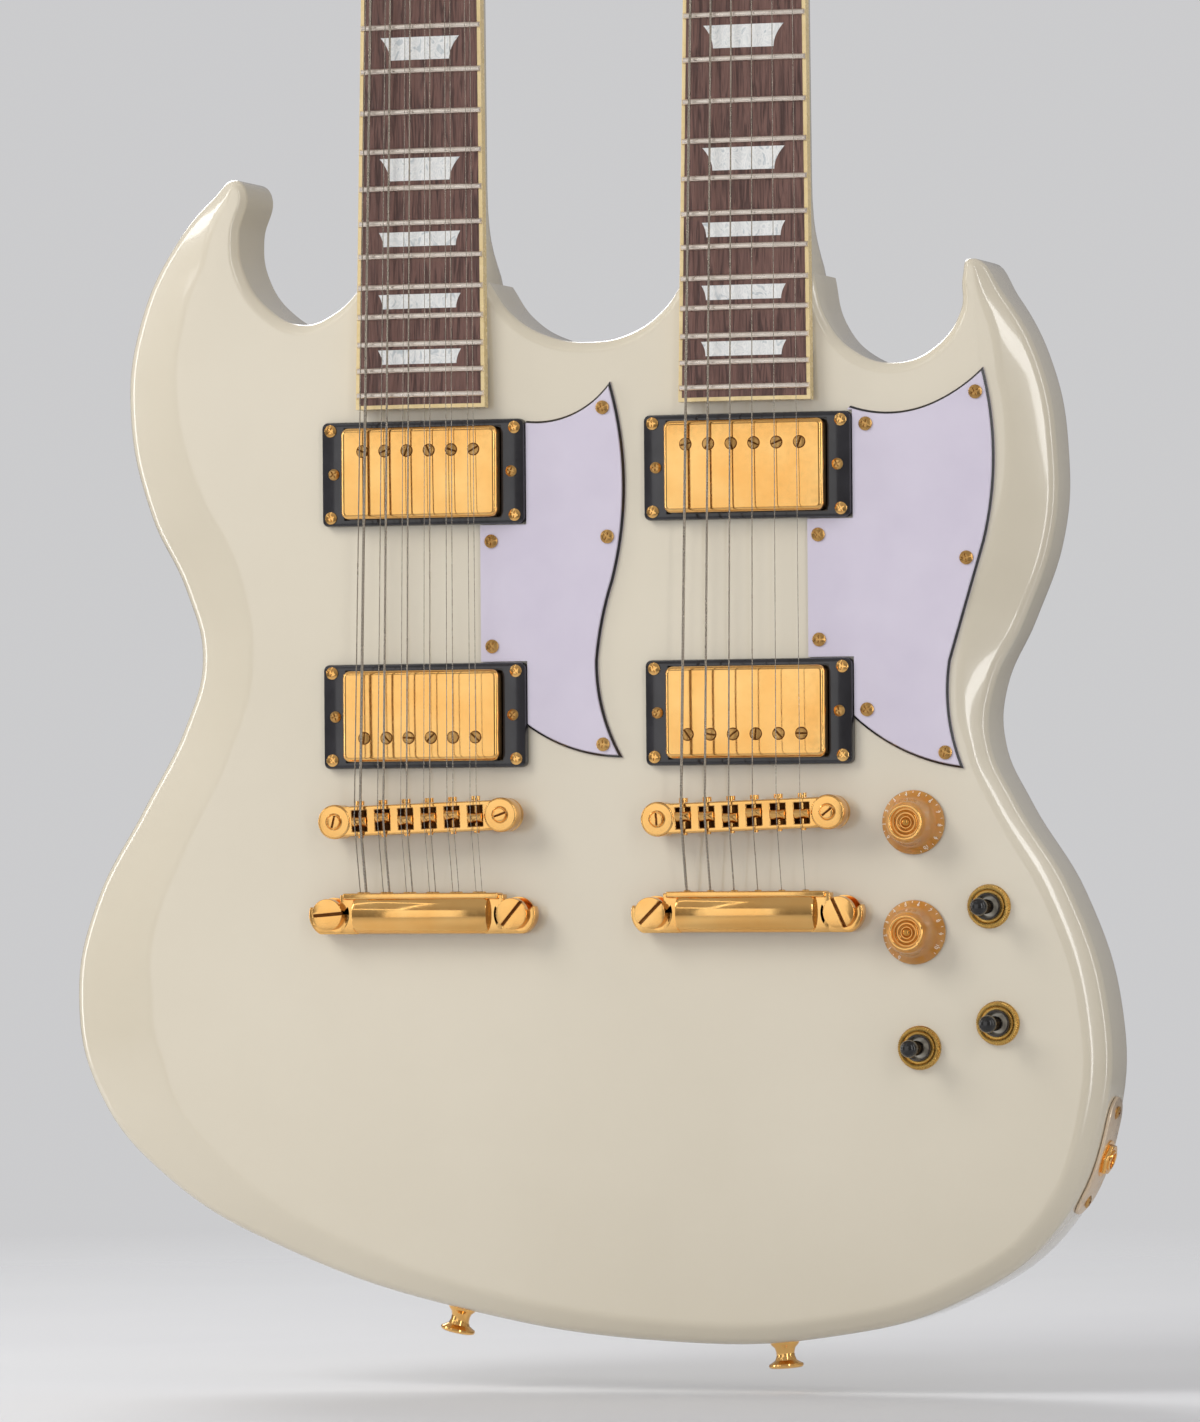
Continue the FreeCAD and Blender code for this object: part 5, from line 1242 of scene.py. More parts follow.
@dataclass
class Fretboard:
    """Bound fretboard of one side with its frets and inlays."""

    side: Side
    radius: float = 305.0
    thickness: float = 6.0
    overhang: float = 5.8
    binding: float = 1.6
    frets: int = 22
    fret_rise: float = 1.15
    fret_radius: float = 1.25
    inlay_frets: tuple[int, ...] = (3, 5, 7, 9, 12, 15, 17, 19, 21)
    wide_share: float = 0.65
    narrow_share: float = 0.49
    length_share: float = 0.52
    least_length: float = 9.6
    last_long_inlay: int = 15
    short_length: float = 6.1
    short_narrow_share: float = 0.58

    @property
    def end(self) -> float:
        """Place of the board's lower end."""
        return self.fret(self.frets) - self.overhang

    def fret(self, number: int) -> float:
        """Distance of a fret from the scale line."""
        return SCALE_LENGTH * 2 ** (-number / 12)

    def half_width(self, along: float) -> float:
        """Half of the board's width at a place along it."""
        return taper(along, self.end)

    def crowned(self, co: Vector) -> Vector:
        """Drop a point by the board's crown."""
        drop = self.radius - math.sqrt(self.radius ** 2 - co.x ** 2)
        return Vector((co.x, co.y + drop, co.z))

    def slab(self, trim: float, rise: float, depth: float) -> Form:
        """Board-shaped slab with a crowned front.

        Args:
            trim: how far it stands inside the board's sides and lower end.
            rise: how far its front stands above the board's.
            depth: depth of its flat back below the crown.

        Returns:
            The slab in the neck's frame.
        """
        low = self.end + trim
        form = Form.block(2, SCALE_LENGTH - low, depth + rise)
        form.cut(0, (-1 + step / 6 for step in range(1, 12)))
        middle = (SCALE_LENGTH + low) / 2

        def shape(co: Vector) -> Vector:
            """Taper the slab, and crown its front.

            Args:
                co: place of a vertex.

            Returns:
                Its new place.
            """
            along = middle + co.y
            half = self.half_width(along) - trim
            x = co.x * half
            if co.z > 0.5 * (depth + rise):
                return self.crowned(Vector((x, -rise, along)))
            return Vector((x, depth, along))

        return form.moved(shape)

    def wire(self, number: int) -> Form:
        """One rounded fret that follows the crown, with bevelled ends.

        Args:
            number: number of the fret.

        Returns:
            The fret in the neck's frame.
        """
        along = self.fret(number)
        half = self.half_width(along) - 0.2
        form = Form.pin(self.fret_radius, 2 * half, -half, 12).placed(turn_by(90, "Y"))
        form.cut(0, (half * (-1 + step / 4) for step in range(1, 8)))

        def shape(co: Vector) -> Vector:
            """Flatten the wire's foot, slope its ends and lay it on the crown.

            Args:
                co: place of a vertex.

            Returns:
                Its new place.
            """
            slope = max(0.0, -co.y) * 0.5 if abs(co.x) > half - 0.1 else 0.0
            height = min(co.y, 0.3) * self.fret_rise / self.fret_radius
            return self.crowned(Vector((co.x - math.copysign(slope, co.x), height, co.z + along)))

        return form.moved(shape)

    def inlay(self, number: int) -> Form:
        """One pearl block with hollowed sides, wider towards the nut.

        Args:
            number: number of the fret above it.

        Returns:
            The block in the neck's frame.
        """
        low, high = self.fret(number), self.fret(number - 1)
        middle = (low + high) / 2
        short = number > self.last_long_inlay
        length = self.short_length if short else max(self.least_length, (high - low) * self.length_share)
        wide = self.half_width(middle) * self.wide_share
        narrow = self.half_width(middle) * (self.short_narrow_share if short else self.narrow_share)
        form = Form.block(2, 2, 0.5)
        for place in (-1 + step / 5 for step in range(1, 10)):
            form.cut(0, (place,)).cut(1, (place,))

        def shape(co: Vector) -> Vector:
            """Taper the block, hollow its sides and lay it on the crown.

            Args:
                co: place of a vertex.

            Returns:
                Its new place.
            """
            share = (co.y + 1) / 2
            half = narrow + (wide - narrow) * share ** 2
            return self.crowned(Vector((co.x * half, 0.3 - co.z * 0.9, middle + co.y * length / 2)))

        return form.moved(shape)

    def build(self) -> None:
        """Build the board, binding, frets and inlays."""
        tag = self.side.tag
        place = neck_place(self.side)
        dress("fretboard_wood_" + tag, self.slab(self.binding, 0.06, 5.9).placed(place), BOARD,
              replaces=["fretboard_" + tag], smooth=30)
        dress("fretboard_edge_" + tag, self.slab(0, 0, self.thickness).placed(place), BINDING,
              replaces=["fretboard_bindings"], smooth=30)
        wires = Form().joined(*[self.wire(number + 1) for number in range(self.frets)])
        dress("fret_wires_" + tag, wires.placed(place), FRET, replaces=["frets"], smooth=60)
        blocks = Form().joined(*[self.inlay(number) for number in self.inlay_frets])
        dress("pearl_blocks_" + tag, blocks.placed(place), PEARL, replaces=["fret_inlays"], smooth=30)
        LOG.info("fretboard %s", tag)


@dataclass
class Headware:
    """Nuts, truss rod covers and tuners of both headstocks."""

    case_depth: float = 10.0
    cover_screws: Pair = (8.0, 38.0)

    def places(self, side: Side) -> list[tuple[int, int, float]]:
        """Number, hand and place along of each tuner."""
        return [(index + 1, ENDS[index % 2], PEG_FIRST + (index // 2) * side.pitch)
                for index in range(side.strings)]

    def post(self) -> Form:
        """Post with its washer and hexagonal bush, rising up Z from the face.

        Returns:
            The post.
        """
        profile = [(0, -16), (3.0, -16), (3.0, 8.4), (2.5, 9.4), (2.5, 11.2), (3.0, 12.2), (3.0, 14.2),
                   (2.6, 14.9), (0, 15.0)]
        washer = Form.turned([(0, -0.4), (6.2, -0.4), (6.2, 0.5), (5.6, 1.1), (0, 1.1)], 36)
        bush = Form.pin(5.0, 2.6, 0.9, 6).sharp(0.4, 2)
        return Form.turned(profile, 24).joined(washer, bush)

    def case(self) -> Form:
        """Closed tuner housing behind the headstock, rising up Z, with rounded edges.

        Returns:
            The housing.
        """
        shell = Form.block(15, 15, self.case_depth).sharp(1.8, 4)
        foot = Form.block(15.6, 20, 1.4).sharp(0.4, 2)
        cap = Form.turned([(0, 0), (4.2, 0), (4.2, 1.2), (3.4, 1.9), (0, 2.1)], 28)
        return shell.joined(foot, cap.at(z=self.case_depth - 1.0))

    def grip(self, hand: int) -> Form:
        """Keystone grip with its collar and shaft, along the way out of the housing.

        Args:
            hand: side of the headstock, minus one for the left.

        Returns:
            The grip.
        """
        outline = [(0, -2.4), (2.2, -3.4), (5.9, -7.2), (8.6, -8.0), (11.4, -7.9), (13.4, -6.4), (14.0, -4.4)]
        points = outline + [(x, -y) for x, y in reversed(outline)]
        line = smooth_line(points, (), 4)
        blade = Form.sheet([(place.x, place.y) for place in line], 5.6).at(z=-2.8).sharp(1.5, 4, 50)
        blade.at(x=7.5 + 9.5)
        turn = turn_by(90, "Y")
        shaft = Form.pin(1.75, 16, 1.5, 20).placed(turn)
        collar = Form.turned([(0, 0), (3.2, 0), (3.4, 0.8), (2.6, 2.4), (2.3, 4.0), (0, 4.2)], 28)
        whole = blade.joined(shaft, collar.placed(shift_by(13.4, 0, 0) @ turn))
        if hand < 0:
            whole.placed(turn_by(180, "Z"))
        return whole

    def build(self) -> None:
        """Build the head's small parts on both sides."""
        dress("bone_nuts", copy_node("string_nuts").sharp(0.25, 2), BONE, replaces=["string_nuts"])
        dress("truss_covers", copy_node("truss_rod_covers").sharp(0.5, 2), BLACK,
              replaces=["truss_rod_covers"])
        screws, posts, cases = Form(), Form(), Form()
        outward = turn_by(90, "X")
        for side in Side:
            head = head_place(side)
            for along in self.cover_screws:
                screws.joined(Form.crossed(1.9, 0.8).placed(head @ shift_by(0, -2, along) @ outward))
            for number, hand, along in self.places(side):
                spot = head @ shift_by(hand * PEG_OFFSET, 0, along)
                posts.joined(self.post().placed(spot @ outward))
                cases.joined(self.case().placed(spot @ shift_by(y=HEAD_THICKNESS) @ turn_by(-90, "X")))
                axle = spot @ shift_by(y=HEAD_THICKNESS + self.case_depth / 2)
                name = "%s_%d" % (side.tag, number)
                dress("tuner_grip_" + name, self.grip(hand).placed(axle @ outward), GOLD,
                      body="button_" + name, replaces=["tuner_button_" + name], smooth=50)
        dress("truss_cover_screws", screws, DULL_GOLD)
        dress("tuner_posts_turned", posts, GOLD, replaces=["tuner_posts"])
        dress("tuner_cases", cases, GOLD, replaces=["tuner_housings"])
        LOG.info("headstock fittings")


@dataclass
class Guards:
    """Pickguards with their screws."""

    left_screws: tuple[Pair, ...] = (
        (8.0, 169.1), (9.8, 114.7), (-41.6, 113.6), (-41.5, 69.2), (7.3, 27.3),
    )
    right_screws: tuple[Pair, ...] = (
        (170.2, 171.9), (122.8, 159.7), (165.8, 103.1), (102.0, 113.8), (102.1, 70.0), (122.6, 40.6),
        (156.1, 22.3),
    )
    bevel: float = 1.3
    ring_half: float = 45.1

    def plate(self, node: str, side: Side) -> Form:
        """Plate with a bevel on its curved rim.

        Args:
            node: the frame's node.
            side: the neck that the guard lies beside; its rings' sides stay square.

        Returns:
            The plate.
        """
        form = copy_node(node)
        top = min(vert.co.y for vert in form.bm.verts)

        def rim(edge: bmesh.types.BMEdge) -> bool:
            """Edges of the front face away from the rings and the strings."""
            level = all(vert.co.y < top + 0.01 for vert in edge.verts)
            return level and max(vert.co.x for vert in edge.verts) > side.middle + self.ring_half + 1.5

        return form.bevel(self.bevel, 1, rim, clamp=False)

    def build(self) -> None:
        """Build both guards and their screws."""
        for side, hand in zip(Side, ("left", "right")):
            node = "pickguard_" + side.tag
            dress("guard_" + hand, self.plate(node, side), GUARD, replaces=[node], smooth=20)
        screws = Form()
        for number, (x, z) in enumerate(self.left_screws + self.right_screws):
            head = Form.crossed(2.9, 1.2)
            screws.joined(head.placed(front_place(x, z, 2.1, 25 + 37 * number)))
        dress("guard_screws", screws, DULL_GOLD)
        LOG.info("pickguards")


@dataclass
class Pickups:
    """Rings, covers, pole screws and height screws of the four pickups."""

    neck_line: float = 143.1
    bridge_line: float = 40.2
    ring: Triple = (90.2, 44.4, 4.0)
    cover: Pair = (69.5, 38.5)
    cover_rise: float = 10.0
    pole_pitch: float = 9.9
    pole_offset: float = 9.3
    corner: Pair = (41.0, 18.5)
    height: float = 39.6

    def frame_ring(self) -> Form:
        """Mounting ring with a chamfered rim and an open middle.

        Returns:
            The ring.
        """
        width, length, rise = self.ring
        form = Form.block(width, length, rise)
        form.bevel(2.6, 4, upright)
        top = form.above(rise - 0.01)
        form.bevel(1.1, 2, lambda edge: any(face in top for face in edge.link_faces))
        top = [face for face in form.above(rise - 0.01) if abs(face.normal.z) > 0.99]
        side = (length - self.cover[1] - 0.8) / 2 - 1.1
        bmesh.ops.inset_region(form.bm, faces=top, thickness=side)
        inner = form.above(rise - 0.01, 5)
        form.bm.normal_update()
        for vert in {vert for face in inner for vert in face.verts if abs(vert.co.x) > 20}:
            vert.co.x = math.copysign(self.cover[0] / 2 + 0.4, vert.co.x)
        form.lift(inner, -rise + 0.3)
        return form

    def shell(self) -> Form:
        """Cover with soft edges.

        Returns:
            The cover.
        """
        form = Form.block(self.cover[0], self.cover[1], self.cover_rise)
        form.bevel(3.0, 5, upright)
        return form.bevel(1.9, 5, lambda edge: all(vert.co.z > self.cover_rise - 0.01 for vert in edge.verts))

    def build(self) -> None:
        """Build the four pickups."""
        rings, shells, poles, corners, heights, holes = (Form() for _ in range(6))
        number = 0
        for side in Side:
            for line, way in ((self.neck_line, 1), (self.bridge_line, -1)):
                rings.joined(self.frame_ring().placed(front_place(side.middle, line)))
                shells.joined(self.shell().placed(front_place(side.middle, line)))
                for pole in range(COURSES):
                    number += 1
                    x, z = side.middle + (pole - 2.5) * self.pole_pitch, line + way * self.pole_offset
                    # A thin dark disc round each pole head paints the shade of its hole in the cover.
                    holes.joined(Form.pin(2.72, 0.06, self.cover_rise - 0.02, 28).placed(front_place(x, z)))
                    turn = 17 + 47 * number % 180
                    poles.joined(Form.slotted(2.35, 1.5, 0.6, 0.6, 24).placed(
                        front_place(x, z, self.cover_rise - 0.9, turn)))
                for end in ENDS:
                    for edge in ENDS:
                        number += 1
                        spot = (side.middle + end * self.corner[0], line + edge * self.corner[1])
                        corners.joined(Form.crossed(2.6, 1.0).placed(front_place(*spot, 3.9, 29 * number)))
                    spot = (side.middle + end * self.height, line)
                    heights.joined(Form.crossed(2.4, 1.6).placed(front_place(*spot, 3.6, 61 * number)))
        dress("pickup_frames", rings, RING, replaces=["pickup_rings"], smooth=30)
        dress("pickup_shells", shells, GOLD, replaces=["pickup_covers"], smooth=60)
        dress("pole_heads", poles, DULL_GOLD, replaces=["pole_screws"])
        dress("pole_hole_shades", holes, PAINTED_SHADE_GOLD)
        dress("ring_screws", corners, GOLD)
        dress("pickup_height_screws", heights, DULL_GOLD)
        LOG.info("pickups")


@dataclass
class Bridge:
    """Tune bridge of one side with its saddles, posts and wheels."""

    side: Side
    spacing: float = 74.0
    underside: float = 7.2
    bar_rise: float = 7.2
    bar_width: float = 12.6
    lobe_radius: float = 7.3
    top: float = 16.4
    window_half: Pair = (3.35, 4.5)
    window_depth: float = 5.6
    screw_turn: float = 0.7
    post_slot: Four = (2.75, 1.5, 0.75, 1.0)

    def place(self) -> Matrix:
        """Matrix of the bridge, with Z out of the body."""
        return front_place(self.side.middle, BRIDGE_LINE) @ turn_by(BRIDGE_SLANT, "Z")

    def window(self, course: int) -> float:
        """Place of a saddle's window along the bar."""
        return course_share(course) * STRING_SPREAD

    def bar(self) -> Form:
        """Bar with a window for each saddle, and the lobes round the posts.

        Returns:
            The bar in the bridge's frame.
        """
        form = Form.block(self.spacing - 3, self.bar_width, self.bar_rise)
        across, along = self.window_half
        form.cut(0, [self.window(course) + end * across for course in range(COURSES) for end in ENDS])
        form.cut(1, (-along, along))

        def inside(middle: Vector) -> bool:
            """Whether a face's middle lies in a window."""
            near = min(abs(middle.x - self.window(course)) for course in range(COURSES))
            return near < across and abs(middle.y) < along

        top = form.above(self.bar_rise - 0.01)
        form.lift([face for face in top if inside(face.calc_center_median())], -self.window_depth)
        form.sharp(0.35, 2, 60)
        for end in ENDS:
            lobe = Form.pin(self.lobe_radius, self.bar_rise + 0.5, 0, 48).sharp(0.9, 4, 60)
            form.joined(lobe.at(x=end * self.spacing / 2))
        return form.at(z=self.underside)

    def pocket(self, course: int) -> Form:
        """Dark lining of a saddle's window, which paints the shade inside it.

        Args:
            course: number of the course, from the left.

        Returns:
            The lining in the bridge's frame.
        """
        half_width, half_length = self.window_half[0] - 0.03, self.window_half[1] - 0.03
        form = Form.block(2 * half_width, 2 * half_length, 5.1, self.bar_rise - 5.55)
        bmesh.ops.inset_region(form.bm, faces=form.above(self.bar_rise - 0.5), thickness=0.12)
        form.lift(form.above(self.bar_rise - 0.5, 1), -4.9)
        return form.at(self.window(course), 0, self.underside)

    def saddle(self, course: int) -> Form:
        """Notched saddle: a hollow block with a ridge across the string.

        Args:
            course: number of the course, from the left.

        Returns:
            The saddle in the bridge's frame.
        """
        base = self.underside + 1.8
        rise = self.top - base
        half_width, half_length = self.window_half[0] - 0.25, 2.1
        form = Form.block(2 * half_width, 2 * half_length, rise)
        form.cut(1, (0.5,)).cut(0, (-0.9, -2.2, 0.9, 2.2))

        def roof(co: Vector) -> Vector:
            """Slope the top off to both long sides and notch it at the string.

            Args:
                co: place of a vertex.

            Returns:
                Its new place.
            """
            if co.z < rise - 0.01:
                return co
            drop = 0.0 if abs(co.y - 0.5) < 0.01 else (2.6 if co.y < 0 else 1.6)
            notch = 0.55 if abs(co.x) < 1.0 else 0.0
            return Vector((co.x, co.y, co.z - drop - notch))

        form.moved(roof)
        shift = 0.9 * math.sin(course * 2.3 + 0.6 * self.side.value)
        return form.sharp(0.22, 2, 35).at(self.window(course), shift, base)

    def saddle_screw(self, course: int) -> Form:
        """Screw of a saddle along the bridge: slotted head, thread through the window and tip.

        Args:
            course: number of the course, from the left.

        Returns:
            The screw in the bridge's frame.
        """
        head = Form.slotted(1.9, 1.9, 0.55, 0.7, 20).at(z=0.2)
        stem = Form.turned([(0, -self.bar_width - 0.9), (1.2, -self.bar_width - 0.9),
                            (1.2, -self.bar_width + 0.6), (0.85, -self.bar_width + 0.8), (0.85, 0.3),
                            (0, 0.3)], 14)
        turn = turn_by(-90, "X") @ Matrix.Rotation(self.screw_turn * course, 4, "Z")
        spot = shift_by(self.window(course), self.bar_width / 2, self.underside + 5.3)
        return head.joined(stem).placed(spot @ turn)

    def build(self) -> None:
        """Build the bridge."""
        tag = self.side.tag
        place = self.place()
        dress("bridge_bar_" + tag, self.bar().placed(place), GOLD, replaces=["bridge_" + tag], smooth=50)
        saddles, screws, posts, pockets, slot_shades = (Form() for _ in range(5))
        for course in range(COURSES):
            saddles.joined(self.saddle(course).placed(place))
            pockets.joined(self.pocket(course).placed(place))
            screws.joined(self.saddle_screw(course).placed(place))
        for end in ENDS:
            spot = place @ shift_by(end * self.spacing / 2, 0, 0)
            wheel = Form.turned([(0, 4.4), (6.6, 4.4), (7.2, 4.8), (7.2, 5.5), (6.4, 5.8), (6.4, 6.1),
                                 (7.2, 6.4), (7.2, 6.8), (6.8, 7.1), (0, 7.1)], 60)
            shank = Form.pin(3.6, 8.0, -1.0, 24)
            bush = Form.turned([(0, 0), (5.6, 0), (5.6, 0.5), (5.2, 0.8), (0, 0.8)], 40)
            top = self.underside + self.bar_rise + 0.5
            rim = Form.turned([(2.95, top - 0.5), (3.7, top - 0.5), (3.7, top + 0.1), (3.4, top + 0.3),
                               (2.95, top + 0.1), (2.95, top - 0.5)], 36)
            turned = shift_by(z=top - 0.3) @ turn_by(-35 - 28 * end + 9 * self.side.value, "Z")
            head = Form.slotted(*self.post_slot, 28).placed(turned)
            posts.joined(wheel.joined(shank, bush, rim, head).placed(spot))
            # A dark strip in each post's slot paints the shade in the slot.
            slot_shades.joined(Form.slot_strip(*self.post_slot).placed(spot @ turned))
        dress("bridge_saddles_" + tag, saddles, GOLD, replaces=["bridge_saddles"], smooth=30)
        dress("saddle_screws_" + tag, screws, GOLD)
        # The dark linings paint the shade inside the saddle windows.
        dress("saddle_pockets_" + tag, pockets, PAINTED_SHADE_GOLD, smooth=30)
        dress("bridge_posts_" + tag, posts, GOLD, replaces=["bridge_posts"])
        dress("bridge_post_slots_" + tag, slot_shades, PAINTED_SHADE_GOLD)
        LOG.info("bridge %s", tag)


@dataclass
class Tailpiece:
    """Stop tailpiece of one side on its two studs."""

    side: Side
    spacing: float = 82.0
    length: float = 62.0
    width: float = 16.6
    underside: float = 3.4
    rise: float = 10.6
    hook: float = 9.4
    hook_rise: float = 6.2
    lip_rise: float = 8.2
    flat: float = 4.4
    slot: float = 9.0
    stud_slot: Four = (6.7, 3.8, 1.3, 1.6)

    def bar(self) -> Form:
        """Rounded bar, turned along X and flattened below.

        Returns:
            The bar in the tailpiece's frame.
        """
        half = self.width / 2
        end = self.length / 2
        profile = [(0, 1.2 - end), (half * 0.9, 1.2 - end), (half, 2.6 - end), (half, end - 2.6),
                   (half * 0.9, end - 1.2), (0, end - 1.2)]
        form = Form.turned(profile, 56).placed(turn_by(90, "Y"))

        def rounded(co: Vector) -> Vector:
            """Broad crown above, straight sides and flat base below.

            Args:
                co: place of a vertex.

            Returns:
                Its new place.
            """
            up = co.z / half
            if up >= 0:
                return Vector((co.x, co.y, up * (self.rise - self.flat)))
            added = half * (1 - math.sqrt(max(0.0, 1 - up * up))) * 0.999
            away = math.copysign(min(half, abs(co.y) + added), co.y if abs(co.y) > 1e-6 else 0.0)
            return Vector((co.x, away, up * self.flat))

        return form.moved(rounded).at(z=self.underside + self.flat)

    def hooks(self) -> Form:
        """Both end hooks with their open mouths towards the bridge.

        Returns:
            The hooks in the tailpiece's frame.
        """
        form = Form()
        for end in ENDS:
            points = []
            for step in range(41):
                angle = math.radians(-90 + end * (230 * step / 40 - 118))
                along = max(-self.width / 2, math.sin(angle) * self.hook)
                points.append((math.cos(angle) * self.hook, along))
            if end < 0:
                points.reverse()
            lip = self.slot / 2
            for step in range(17):
                angle = math.radians(-180 * step / 16)
                points.append((math.cos(angle) * lip, math.sin(angle) * lip))
            plate = Form.sheet(points, self.hook_rise).sharp(0.6, 3, 50)
            neck = Form.block(8.4, self.width, self.hook_rise).sharp(0.5, 3, 50)
            form.joined(plate.at(end * self.spacing / 2, 0, self.underside),
                        neck.at(end * (self.spacing / 2 - 8.9), 0, self.underside))
        lip = Form.block(self.length + 7, 2.6, self.lip_rise).sharp(0.6, 3, 50)
        return form.joined(lip.at(y=self.width / 2 - 0.6, z=self.underside))

    def holes(self) -> Form:
        """Mouths of the string holes in the upper edge, in the tailpiece's frame.

        Returns:
            The mouths.
        """
        form = Form()
        for course in range(COURSES):
            for step in (0.0,) if self.side is Side.SIX else (-1.35, 1.35):
                mouth = Form.turned([(0.9, 0), (1.5, 0), (1.5, 0.5), (1.2, 0.7), (0.9, 0.5), (0.9, 0)], 18)
                spot = shift_by(course_share(course) * STRING_SPREAD + step, self.width / 2 + 0.5,
                                self.underside + 5.6)
                form.joined(mouth.placed(spot @ turn_by(-90, "X")))
        return form

    def stud(self, turn: float) -> Form:
        """Broad slotted stud with its rim and bush.

        Args:
            turn: turn of its slot, in degrees.

        Returns:
            The stud.
        """
        top = self.underside + self.hook_rise
        head = Form.slotted(*self.stud_slot, 48)
        head.placed(shift_by(0, 0, top) @ turn_by(turn, "Z"))
        shank = Form.pin(4.3, top, 0, 28)
        rim = Form.turned([(0, 1.4), (6.9, 1.4), (7.2, 1.7), (7.2, 2.2), (6.2, 2.4), (6.2, 2.7), (7.2, 2.9),
                           (7.2, 3.2), (0, 3.3)], 44)
        bush = Form.turned([(0, 0), (6.4, 0), (6.4, 0.6), (5.9, 1.0), (0, 1.0)], 40)
        return head.joined(shank, rim, bush)

    def build(self) -> None:
        """Build the tailpiece with its studs and the mouths of its string holes."""
        tag = self.side.tag
        place = front_place(self.side.middle, TAIL_LINE)
        dress("tail_bar_" + tag, self.bar().placed(place), GOLD, replaces=["tailpiece_" + tag], smooth=40)
        dress("tail_hooks_" + tag, self.hooks().placed(place), GOLD, smooth=40)
        dress("string_holes_" + tag, self.holes().placed(place), DULL_GOLD, smooth=40)
        studs, slot_shades = Form(), Form()
        for end, turn in zip(ENDS, (85, 40) if self.side is Side.TWELVE else (45, -25)):
            across = end * self.spacing / 2
            studs.joined(self.stud(-turn).at(x=across).placed(place))
            turned = shift_by(across, 0, self.underside + self.hook_rise) @ turn_by(-turn, "Z")
            # A dark strip in each stud's slot paints the shade in the slot.
            slot_shades.joined(Form.slot_strip(*self.stud_slot).placed(place @ turned))
        dress("tail_studs_" + tag, studs, GOLD, replaces=["tailpiece_studs"], smooth=40)
        dress("tail_stud_slots_" + tag, slot_shades, PAINTED_SHADE_GOLD)
        LOG.info("tailpiece %s", tag)


@dataclass
class Strings:
    """Strings of one side, from the tailpiece over saddle and nut to the posts."""

    side: Side
    gauge: float = 0.6
    spread_nut: float = 38.0
    gap_nut: float = 1.9
    gap_bridge: float = 2.7
    hole_rise: float = 9.0
    hole_lead: float = 6.8
    saddle_rise: float = 16.5
    nut_rise: float = 0.8
    post_reach: float = 22.0
    post_rise: float = 6.0
    coil_bore: float = 2.55
    least_wound: float = 0.36
    plain_shares: tuple[float, ...] = (1.0, 0.78, 0.56, 0.38, 0.28, 0.22)
    octave_shares: tuple[float, ...] = (0.42, 0.32, 0.24, 0.22, 0.28, 0.22)

    def table(self) -> list[Triple]:
        """Share of the spread, side of the course and gauge share of each string.

        Returns:
            One row for each string, from the left.
        """
        rows = []
        for course in range(COURSES):
            share = course_share(course)
            if self.side is Side.SIX:
                rows.append((share, 0.0, self.plain_shares[course]))
            else:
                rows.append((share, -0.5, self.octave_shares[course]))
                rows.append((share, 0.5, self.plain_shares[course]))
        return rows

    def peg(self, index: int) -> tuple[int, float]:
        """Hand and place along the headstock of a string's post.

        Args:
            index: number of the string, from the left.

        Returns:
            Minus one for the left hand or one, and the place along.
        """
        half = self.side.strings // 2
        number = index if index < half else self.side.strings - 1 - index
        return ENDS[index >= half], PEG_FIRST + number * self.side.pitch

    def route(self, index: int, row: Triple) -> list[Vector]:
        """Points that one string runs through.

        Args:
            index: number of the string, from the left.
            row: its line in the table.

        Returns:
            Its places in the tailpiece, on the saddle, in the nut and at the post.
        """
        share, step, gauge = row
        radius = gauge * self.gauge
        hand, along = self.peg(index)
        offset = share * STRING_SPREAD + step * self.gap_bridge
        across = self.side.middle + offset
        line = BRIDGE_LINE + offset * math.sin(math.radians(BRIDGE_SLANT))
        nut = Vector((share * self.spread_nut + step * self.gap_nut, -self.nut_rise - radius,
                      SCALE_LENGTH + NUT_THICKNESS))
        post = Vector((hand * (self.post_reach - radius), -self.post_rise, along))
        return [Vector((across, FRONT - self.hole_rise, TAIL_LINE + self.hole_lead)),
                Vector((across, FRONT - self.saddle_rise - radius, line)),
                neck_place(self.side) @ nut, head_place(self.side) @ post]

    def run(self, start: Vector, end: Vector, radius: float) -> Form:
        """One straight run of wire.

        Args:
            start: where it starts.
            end: where it ends.
            radius: radius of the wire.

        Returns:
            The run.
        """
        way = end - start
        turn = way.to_track_quat("Z", "Y").to_matrix().to_4x4()
        return Form.pin(radius, way.length, 0, 12).placed(Matrix.Translation(start) @ turn)

    def build(self) -> None:
        """Build the strings, the wound ones apart from the plain ones."""
        wound, plain = Form(), Form()
        for index, row in enumerate(self.table()):
            points = self.route(index, row)
            radius = row[2] * self.gauge
            target = wound if row[2] > self.least_wound else plain
            for start, end in zip(points, points[1:]):
                target.joined(self.run(start, end, radius))
            bore, rim = self.coil_bore, self.coil_bore + 2 * radius
            coil = Form.turned([(bore, 0), (rim, 0.3), (rim, 3.2), (bore, 3.6), (bore, 0)], 20)
            hand, along = self.peg(index)
            target.joined(coil.placed(head_place(self.side) @ shift_by(hand * PEG_OFFSET, -5.2, along)
                                      @ turn_by(90, "X")))
        tag = self.side.tag
        dress("wound_strings_" + tag, wound, WOUND, replaces=["strings"], smooth=60)
        dress("plain_strings_" + tag, plain, STEEL, smooth=60)
        LOG.info("strings %s", tag)


@dataclass(frozen=True)
class Turning:
    """One turned part of a knob, with its profile as radius and height from the body's face."""

    name: str
    finish: Finish
    steps: int
    smooth: float
    profile: tuple[Pair, ...]


